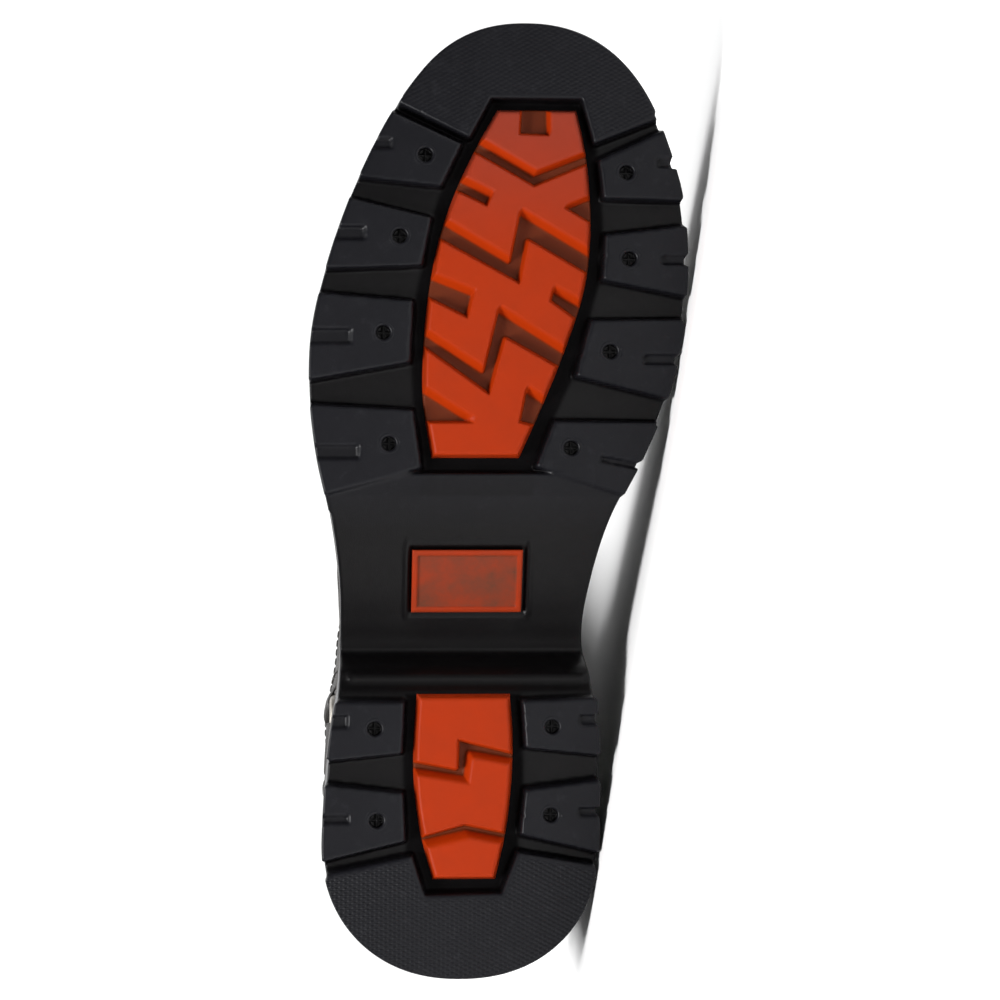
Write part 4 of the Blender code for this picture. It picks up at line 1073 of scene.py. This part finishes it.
def upper_levels(rings):
    """Height at the front and at the back of each ring, closer together where the skin curves."""
    heights = np.linspace(seat_level(SOLE_LENGTH - FEATHER_INSET) + GAP, BOOT_HEIGHT, CURVE_SAMPLES)
    fronts = smooth(SECTIONS, "front", heights)
    steps = np.hypot(np.diff(fronts), np.diff(heights)) * smooth(RINGS, "closeness", heights[1:])
    travel = running(steps)
    front = np.interp(np.linspace(0.0, travel[-1], rings), travel, heights)
    back = smooth(RINGS, "back", front)
    back[0] = seat_level(FEATHER_INSET) + GAP
    return front, back


def make_upper():
    """One wall: creased skin from the sole up, a rounded collar, and the lining down again."""
    front_z, back_z = (level[:, None] for level in upper_levels(SKIN_RINGS))
    turn = full_turn(SKIN_AROUND)[None, :]
    along = to_and_fro(turn)
    back_x, front_x = smooth(SECTIONS, "back", back_z), smooth(SECTIONS, "front", front_z)
    x = back_x + (front_x - back_x) * along
    chord = back_z[0] + (front_z[0] - back_z[0]) * along
    share = np.linspace(0.0, 1.0, SKIN_RINGS)[:, None]
    z = back_z + (front_z - back_z) * along + (seat_level(x) + GAP - chord) * (1.0 - share) ** SAG_FADE
    outer, normal, depth = worn_skin(z, turn_at(x, z, np.sin(turn) < 0.0))
    inner = outer - normal * UPPER_WALL
    arc = np.linspace(0.0, math.pi, COLLAR_STEPS + 2)[1:-1, None, None]
    middle, half = (outer[-1] + inner[-1]) / 2.0, (outer[-1] - inner[-1]) / 2.0
    collar = middle + half * np.cos(arc) + UP * (UPPER_WALL / 2.0) * np.sin(arc)
    kept = np.round(np.linspace(SKIN_RINGS - 1, 0, LINING_RINGS)).astype(int)
    wall = np.concatenate([outer, collar, inner[kept]])
    low, inside = np.zeros(wall.shape[:2]), np.zeros(wall.shape[:2])
    # Painted shade: the leather darkens with the depth of its creases.
    low[:SKIN_RINGS] = np.clip(depth / DEEP_CREASE, 0.0, DARKEST_CREASE)
    inside[SKIN_RINGS + COLLAR_STEPS:] = 1.0
    faces = grid_faces(*wall.shape[:2], round_rows=True, round_columns=True)
    add_piece("boot_upper", wall, faces, UPPER_LEATHER, "black_leather", ("upper",), low=low, inner=inside)


make_upper()

# %% [markdown]
# ## Stitches
# A stitch is a short round-ended length of thread that lies on the leather.  Hundreds of them are needed,
# so one small shape of a few dozen faces is worked out once and carried to all places along a seam at the
# same time: its length along the seam, its width across it, its height along the skin's normal.

# %% Stitch helper and the upper's seams
STITCH_LENGTH, STITCH_WIDTH, STITCH_PITCH = 2.9, 0.9, 3.7
STITCH_RINGS, STITCH_AROUND, STITCH_BLUNTNESS = 6, 6, 0.5
STITCH_LIFT = STITCH_WIDTH / 4.0
SEAM_SAMPLES = 300
VAMP_ROWS, VAMP_ROW_LOW, VAMP_ROW_HIGH = (2.0, 5.0), 44.0, 148.0
SIDE_ROWS, SIDE_ROW_LOW = (-2.6, 2.6), 130.0
COLLAR_ROW = BOOT_HEIGHT - 5.0


def stitch_row(path, normal):
    """Points of stitches spaced evenly along a path: an ellipsoid with blunt ends, carried to each place."""
    travel = running(np.linalg.norm(np.diff(path, axis=0), axis=1))
    places = np.arange(STITCH_PITCH / 2.0, travel[-1], STITCH_PITCH)
    centre, up, tangent = (np.stack([np.interp(places, travel, column) for column in table.T], axis=-1)
                           for table in (path, normal, np.gradient(path, axis=0)))
    tangent, up = unit(tangent), unit(up)
    tilt = np.linspace(-math.pi / 2.0, math.pi / 2.0, STITCH_RINGS)[:, None]
    turn = full_turn(STITCH_AROUND)[None, :]
    girth = np.abs(np.cos(tilt)) ** STITCH_BLUNTNESS * STITCH_WIDTH / 2.0
    local = xyz(STITCH_LENGTH / 2.0 * np.sin(tilt), girth * np.cos(turn), girth * np.sin(turn))
    axes = np.stack([tangent, np.cross(up, tangent), up], axis=1)
    return centre[:, None, None, :] + np.einsum("rtk,nkc->nrtc", local, axes)


def add_stitches(name, rows, slot):
    """Joins rows of stitches into one piece of thread."""
    points = np.concatenate(rows)
    faces = grid_faces(STITCH_RINGS, STITCH_AROUND, round_columns=True, copies=len(points))
    add_piece(name, points, faces, THREAD, slot)


def seam_row(table, shift, low, high, medial):
    """Row of stitches along a seam of the side view, shifted along the boot, on one side."""
    z = np.linspace(low, high, SEAM_SAMPLES)
    path, normal, _ = worn_skin(z, turn_at(smooth(table, "x", z) + shift, z, medial), STITCH_LIFT)
    return stitch_row(path, normal)


upper_seams = [(VAMP_SEAM, shift, VAMP_ROW_LOW, VAMP_ROW_HIGH) for shift in VAMP_ROWS]
upper_seams += [(SIDE_SEAM, shift, SIDE_ROW_LOW, COLLAR_ROW - 1.0) for shift in SIDE_ROWS]
upper_rows = [seam_row(*seam, medial) for medial in (False, True) for seam in upper_seams]
collar_turn = np.linspace(0.0, 2.0 * math.pi, 4 * SEAM_SAMPLES)
collar_path, collar_normal, _ = worn_skin(np.full_like(collar_turn, COLLAR_ROW), collar_turn, STITCH_LIFT)
upper_rows.append(stitch_row(collar_path, collar_normal))
add_stitches("upper_stitches", upper_rows, "black_leather")

# %% [markdown]
# ## Welt and insole
# The welt is the strip that joins upper and sole.  Its section is a rectangle with rounded edges and a
# shallow channel, carried round the boot, and its stitches lie in the channel.  The insole lies inside, on
# the sole's seat.

# %% Welt
WELT_AROUND = 420
WELT_INSET, WELT_HEIGHT, SEAT_CLEARANCE = 0.6, 3.4, 0.5
WELT_INNER = FEATHER_INSET - SEAT_CLEARANCE
CHANNEL_FROM, CHANNEL_TO, CHANNEL_SHADE = 2.7, 4.3, 0.6
WELT_PROFILE = ((WELT_INNER, 0.0), (1.2, 0.0), (0.8, 0.15), (WELT_INSET, 0.6), (WELT_INSET, 2.8),
                (0.8, 3.25), (1.2, WELT_HEIGHT), (CHANNEL_FROM, WELT_HEIGHT), (3.0, 3.0), (4.0, 3.0),
                (CHANNEL_TO, WELT_HEIGHT), (WELT_INNER, WELT_HEIGHT))
WELT_ROW_INSET, WELT_ROW_HEIGHT = 3.5, 3.15


def welt_ring(inset, height):
    """Closed ring round the sole at an inset, at a height over the seat."""
    turn = full_turn(WELT_AROUND)
    x = shrunk(SOLE_LENGTH * to_and_fro(turn), inset)
    lateral, medial = plan_edges(x, inset)
    return xyz(x, np.where(np.sin(turn) > 0.0, lateral, medial), seat_level(x) + GAP + height)


welt = np.stack([welt_ring(inset, height) for inset, height in WELT_PROFILE], axis=1)
welt_faces = grid_faces(*welt.shape[:2], round_rows=True, round_columns=True)
shade = [CHANNEL_SHADE if CHANNEL_FROM < inset < CHANNEL_TO else 0.0 for inset, _ in WELT_PROFILE]
add_piece("stitched_welt", welt, welt_faces, WELT_LEATHER, "welt_leather", ("welt",),
          low=np.tile(shade, WELT_AROUND))
welt_path = welt_ring(WELT_ROW_INSET, WELT_ROW_HEIGHT)
welt_path = np.concatenate([welt_path, welt_path[:1]])
add_stitches("welt_stitches", [stitch_row(welt_path, np.broadcast_to(UP, welt_path.shape))], "welt_leather")

# %% Insole
INSOLE_HEIGHT, INSOLE_STATIONS, INSOLE_ACROSS = 3.5, 160, 24
INSOLE_INSET = FEATHER_INSET + UPPER_WALL + 2.0 * SEAT_CLEARANCE
INSOLE_DISH, INSOLE_ROUND, ROUND_SHARE = 0.6, 0.5, 0.125


def make_insole():
    """Slab on the seat: its top is dished a little along the middle, its edge rounded."""
    x = shrunk(SOLE_LENGTH * to_and_fro(np.linspace(0.0, math.pi, INSOLE_STATIONS)), INSOLE_INSET)
    y = between(*plan_edges(x, INSOLE_INSET), INSOLE_ACROSS)
    x = x[:, None]
    seat, share = seat_level(x), np.linspace(0.0, 1.0, INSOLE_ACROSS)
    middle = 4.0 * share * (1.0 - share)
    top = seat + INSOLE_HEIGHT - INSOLE_DISH * middle - INSOLE_ROUND * (1.0 - ease(middle / ROUND_SHARE))
    loops = np.concatenate([xyz(x, y, top), xyz(x, y, seat + GAP)[:, ::-1]], axis=1)
    faces = grid_faces(*loops.shape[:2], round_columns=True)
    add_piece("leather_insole", loops, faces, INSOLE_LEATHER, "insole_leather", ("insole",))


make_insole()

# %% [markdown]
# ## Harness straps and rings
# Three straps meet on each side at a steel ring: one goes round the heel, one over the instep and one down
# to the welt.  A strap's section is a rectangle with rounded edges.  It is carried along the skin by giving
# every point an offset from the leather, so the strap follows the boot's form and stands off where it has
# slack.

# %% Straps: sizes and section
RING_X, RING_Z, RING_RADIUS, RING_WIRE, RING_LIFT = 69.5, 92.0, 16.0, 2.2, 3.4
STRAP_WIDTH, STRAP_THICKNESS, STRAP_SEAT = 20.0, 2.6, 0.6
HEEL_STRAP_SLOPE, HEEL_STRAP_SLACK, INSTEP_STRAP_SLOPE = 0.10, 2.0, 0.42
STRAP_STATIONS, ARCH_STATIONS = 180, 40
STRAP_CORNER, CORNER_STEPS, FACE_STEPS = 0.9, 4, 5
CROSSING_ROUNDS = 30
WEAR_WIDTH, WEAR_FADE, WEAR_MOST = 1.2, 1.0, 0.7
REACH = RING_RADIUS + RING_WIRE + STRAP_SEAT


def strap_section():
    """Closed section of a flat strap, as places across it and depths: round corners and straight faces."""
    half_width, half_depth = STRAP_WIDTH / 2.0 - STRAP_CORNER, STRAP_THICKNESS / 2.0 - STRAP_CORNER
    arc = np.linspace(0.0, math.pi / 2.0, CORNER_STEPS)
    face = np.linspace(-half_width, half_width, FACE_STEPS + 2)[1:-1]
    sides = []
    for quarter, across, depth in ((0, 1, 1), (1, -1, 1), (2, -1, -1), (3, 1, -1)):
        turn = arc + quarter * math.pi / 2.0
        sides.append(np.stack([across * half_width + STRAP_CORNER * np.cos(turn),
                               depth * half_depth + STRAP_CORNER * np.sin(turn)]))
        if quarter in (0, 2):
            run = face[::-1] if quarter == 0 else face
            sides.append(np.stack([run, np.full_like(run, depth * STRAP_THICKNESS / 2.0)]))
    return np.concatenate(sides, axis=1)


ACROSS_STRAP, STRAP_DEPTH = strap_section()
STRAP_OFFSET = STRAP_SEAT + STRAP_THICKNESS / 2.0 + STRAP_DEPTH
print("points round a strap:", ACROSS_STRAP.size)

# %% Straps round the boot


def bow(way):
    """Share of a strap's slack on its way from end to crossing: a parabola, 1 in the middle."""
    return 1.0 - (2.0 * way - 1.0) ** 2


def band(column, slope, growth, start, slack):
    """Loops of a strap from ring to ring round the boot's back or front.

    Each point keeps its place across the strap and its offset from the leather.  Where its line crosses the
    boot's side view is found by stepping to and fro between line and silhouette, and the strap bows off the
    skin by its slack.
    """
    crossing = np.full_like(ACROSS_STRAP, start)
    for _ in range(CROSSING_ROUNDS):
        level = RING_Z + slope * (crossing - RING_X) + ACROSS_STRAP
        crossing = smooth(SECTIONS, column, level) + growth * STRAP_OFFSET
    swing = np.linspace(-math.pi / 2.0, math.pi / 2.0, STRAP_STATIONS)[:, None]
    way = 1.0 - np.cos(swing)
    x = crossing + (start - crossing) * way
    z = RING_Z + slope * (x - RING_X) + ACROSS_STRAP
    lateral, medial = upper_edges(x, z, STRAP_OFFSET + slack * bow(way))
    return xyz(x, np.where(swing < 0.0, lateral, medial), z)


def add_band(name, node, loops):
    """Makes a strap's piece from its loops, with the share of its burnished edges."""
    wear = WEAR_MOST * ease((np.abs(ACROSS_STRAP) - STRAP_WIDTH / 2.0 + WEAR_WIDTH) / WEAR_FADE)
    add_piece(name, loops, loop_faces(*loops.shape[:2]), STRAP_LEATHER, "strap_leather", (node,),
              low=np.broadcast_to(wear, loops.shape[:2]))


add_band("heel_harness_strap", "heel_strap",
         band("back", HEEL_STRAP_SLOPE, -1.0, RING_X - REACH, HEEL_STRAP_SLACK))
add_band("instep_harness_strap", "instep_strap", band("front", INSTEP_STRAP_SLOPE, 1.0, RING_X + REACH, 0.0))
arch_x, welt_top = RING_X + ACROSS_STRAP, seat_level(RING_X - STRAP_WIDTH / 2.0) + WELT_HEIGHT
arch_z = np.linspace(RING_Z - REACH, welt_top + 2.0 * GAP, ARCH_STATIONS)[:, None]
for number, side in enumerate(SIDES):
    arch_y = upper_edges(arch_x, arch_z, STRAP_OFFSET)[number]
    add_band("arch_harness_strap_" + side, "arch_strap_" + side, xyz(arch_x, arch_y, arch_z))

# %% Rings
RING_AROUND, WIRE_AROUND, RING_STEP = 96, 24, 1.0


def make_ring(side, number):
    """Torus lying flat on the ankle: its axis is the skin's normal there, from two small steps."""
    x = np.array([RING_X, RING_X + RING_STEP, RING_X])
    y = upper_edges(x, np.array([RING_Z, RING_Z, RING_Z + RING_STEP]))[number]
    normal = unit(np.array([y[0] - y[1], RING_STEP, y[0] - y[2]])) * OUTWARD[number]
    first = unit(np.cross(UP, normal))
    second = np.cross(normal, first)
    turn = full_turn(RING_AROUND)[:, None, None]
    wire = full_turn(WIRE_AROUND)[None, :, None]
    away = first * np.cos(turn) + second * np.sin(turn)
    centre = np.array([RING_X, y[0], RING_Z]) + normal * RING_LIFT
    points = centre + away * (RING_RADIUS + RING_WIRE * np.cos(wire)) + normal * RING_WIRE * np.sin(wire)
    faces = grid_faces(RING_AROUND, WIRE_AROUND, round_rows=True, round_columns=True)
    add_piece("harness_ring_" + side, points, faces, NICKEL, "nickel_plate", ("ring_" + side,))


for number, side in enumerate(SIDES):
    make_ring(side, number)

# %% [markdown]
# ## Folds round the rings
# Each strap's end is pared thin, laid round the ring's wire and stitched down on the strap's face.  Its
# path is a short table of distance from the ring's middle and height over it; across its width the fold
# follows the ring's arc.

# %% Strap folds
Fold = namedtuple("Fold", "way reach height")
FOLD_PATH = [Fold(number, *row) for number, row in enumerate((
    (29.0, 0.45), (25.0, 0.45), (21.6, 0.75), (19.2, 1.75), (17.4, 2.55), (16.0, 2.85), (14.3, 2.35),
    (13.3, 1.1), (13.1, -0.2), (13.5, -1.5), (14.6, -2.45), (16.0, -2.75), (17.2, -2.5), (18.2, -2.0),
))]
FOLD_WIDTH, FOLD_THICKNESS, FOLD_STATIONS, FOLD_AROUND = 18.0, 1.0, 70, 28
WIDTH_ROUNDNESS, DEPTH_ROUNDNESS = 0.3, 0.6
FOLD_ROW_REACH, FOLD_ROW_HEIGHT, FOLD_ROW_HALF, FOLD_ROW_SAMPLES = 26.6, 1.1, 7.5, 40
FOLD_TURNS = {"heel": math.pi + math.atan(HEEL_STRAP_SLOPE), "instep": math.atan(INSTEP_STRAP_SLOPE),
              "arch": -math.pi / 2.0}
HEEL_LEVEL = 95.0
HEEL_BACK = smooth(SECTIONS, "back", HEEL_LEVEL)


def strap_rise(strap, x):
    """How far a strap's slack lifts it off the skin at x."""
    if strap != "heel":
        return np.zeros_like(x)
    return HEEL_STRAP_SLACK * bow(np.clip((x - HEEL_BACK) / (RING_X - REACH - HEEL_BACK), 0.0, 1.0))


def beside_ring(strap, number, reach, across, height):
    """Points near a ring, from the distance, the place across and the height over it."""
    turn = FOLD_TURNS[strap]
    reach = reach - RING_RADIUS + np.sqrt(RING_RADIUS ** 2 - across ** 2)
    x = RING_X + reach * math.cos(turn) - across * math.sin(turn)
    z = RING_Z + reach * math.sin(turn) + across * math.cos(turn)
    return xyz(x, upper_edges(x, z, RING_LIFT + height + strap_rise(strap, x))[number], z)


def fold_loops(strap, number):
    """Loops of one fold: its thin rounded section, set square to the path of the table."""
    way = np.linspace(0.0, len(FOLD_PATH) - 1.0, FOLD_STATIONS)
    reach, height = smooth(FOLD_PATH, "reach", way)[:, None], smooth(FOLD_PATH, "height", way)[:, None]
    run, rise = np.gradient(reach, axis=0), np.gradient(height, axis=0)
    length = np.hypot(run, rise)
    cosine, sine = np.cos(full_turn(FOLD_AROUND)), np.sin(full_turn(FOLD_AROUND))
    across = np.sign(cosine) * np.abs(cosine) ** WIDTH_ROUNDNESS * FOLD_WIDTH / 2.0
    depth = np.sign(sine) * np.abs(sine) ** DEPTH_ROUNDNESS * FOLD_THICKNESS / 2.0
    return beside_ring(strap, number, reach + depth * rise / length, across, height - depth * run / length)


folds, fold_rows = [], []
row = np.linspace(-FOLD_ROW_HALF, FOLD_ROW_HALF, FOLD_ROW_SAMPLES)
for number in (0, 1):
    for strap in FOLD_TURNS:
        folds.append(fold_loops(strap, number))
        path = beside_ring(strap, number, FOLD_ROW_REACH, row, FOLD_ROW_HEIGHT)
        fold_rows.append(stitch_row(path, np.tile([0.0, OUTWARD[number], 0.0], (len(row), 1))))
fold_faces = loop_faces(FOLD_STATIONS, FOLD_AROUND, copies=len(folds))
add_piece("strap_folds", np.stack(folds), fold_faces, STRAP_LEATHER, "strap_leather", (),
          low=np.zeros(len(folds) * FOLD_STATIONS * FOLD_AROUND))
add_stitches("strap_stitches", fold_rows, "strap_leather")

# %% [markdown]
# ## Floor, light and camera
# The boot lies on a pale studio sweep.  The photo looks square at the sole with the toe up, so the camera
# looks almost along the floor and is rolled a quarter turn.  The main light is a large soft one, high in
# front of the sole, which comes from the left in the rolled picture.  Nothing bright stands where the sole
# would mirror it into the camera, or black rubber would turn grey.  A weak light overhead lifts the shadow
# on the floor, and a third one whitens the paper behind.  The Standard view shows colours as they are
# written here; the usual film-like view would pale the orange and lift the black.

# %% Studio floor
SWEEP_FRONT, SWEEP_BACK, SWEEP_ROUND, SWEEP_TOP, SWEEP_HALF = -4.0, 1.6, 0.8, 3.5, 4.0
SWEEP_STEPS, PAPER_ROUGHNESS = 24, 0.9


def make_sweep(floor):
    """Studio sweep: a floor at the given height, a quarter circle and a back, carried sideways."""
    bend = np.linspace(0.0, math.pi / 2.0, SWEEP_STEPS)
    y = np.concatenate([[SWEEP_FRONT], SWEEP_BACK + SWEEP_ROUND * np.sin(bend), [SWEEP_BACK + SWEEP_ROUND]])
    z = np.concatenate([[0.0], SWEEP_ROUND * (1.0 - np.cos(bend)), [SWEEP_TOP]]) + floor
    points = np.stack([xyz(x, y, z) for x in (-SWEEP_HALF, SWEEP_HALF)], axis=1)
    mesh = bpy.data.meshes.new("studio_sweep")
    mesh.from_pydata(points.reshape(-1, 3).tolist(), [], grid_faces(len(y), 2).tolist())
    mesh.shade_smooth()
    surface, _, shader = new_finish("pale_studio_paper")
    shader({"Base Color": linear("#f4f4f4"), "Roughness": PAPER_ROUGHNESS})
    mesh.materials.append(surface)
    sweep = bpy.data.objects.new("studio_sweep", mesh)
    bpy.context.scene.collection.objects.link(sweep)
    sweep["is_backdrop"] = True
    print("studio floor at", round(floor / MM, 2), "mm")


bpy.context.view_layer.update()
make_sweep(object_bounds()[0][2])

# %% Light and camera
VIEW_TARGET = np.array([155.5, 12.66, 0.0])
VIEW_DISTANCE, VIEW_HALF_WIDTH, VIEW_LEAN = 1150.0, 162.3, math.radians(3.5)
LIGHT_UP, WORLD_STRENGTH = np.array([0.0, 1.0, 0.1]), 0.2


def aim(thing, place, target, up):
    """Places an object so that its -Z axis points at the target and its Y axis leans towards up."""
    back = unit(place - target)
    right = unit(np.cross(up, back))
    turn = Matrix(np.stack([right, np.cross(back, right), back], axis=1).tolist())
    thing.matrix_world = Matrix.Translation(Vector(place.tolist())) @ turn.to_4x4()


def add_light(name, place, target, size, power):
    """A square soft light."""
    lamp = bpy.data.lights.new(name, "AREA")
    lamp.size = size
    lamp.energy = power
    thing = bpy.data.objects.new(name, lamp)
    bpy.context.scene.collection.objects.link(thing)
    aim(thing, np.array(place), np.array(target), LIGHT_UP)


world = bpy.data.worlds.new("studio")
bpy.context.scene.world = world
world.use_nodes = True
fill(world.node_tree.nodes["Background"], {"Color": linear("#ffffff"), "Strength": WORLD_STRENGTH})
bpy.context.scene.view_settings.view_transform = "Standard"
add_light("front_softbox", (-0.55, -1.05, 1.2), (0.0, -0.12, 0.05), 0.6, 29.0)
add_light("overhead_softbox", (0.1, 0.15, 1.1), (0.0, 0.1, 0.0), 1.0, 6.0)
add_light("backdrop_softbox", (0.0, 0.9, 2.2), (0.0, 1.9, 0.3), 1.6, 45.0)
camera = bpy.data.objects.new("camera", bpy.data.cameras.new("camera"))
camera.data.angle = 2.0 * math.atan(VIEW_HALF_WIDTH / VIEW_DISTANCE)
bpy.context.scene.collection.objects.link(camera)
lean = np.array([0.0, -math.sin(VIEW_LEAN), -math.cos(VIEW_LEAN)])
aim(camera, to_frame(VIEW_TARGET + VIEW_DISTANCE * lean), to_frame(VIEW_TARGET), boot_ahead)
bpy.context.scene.camera = camera
print("camera height over the floor:", round(camera.matrix_world.translation.z, 3), "m")

# %% Final update of the scene
bpy.context.view_layer.update()
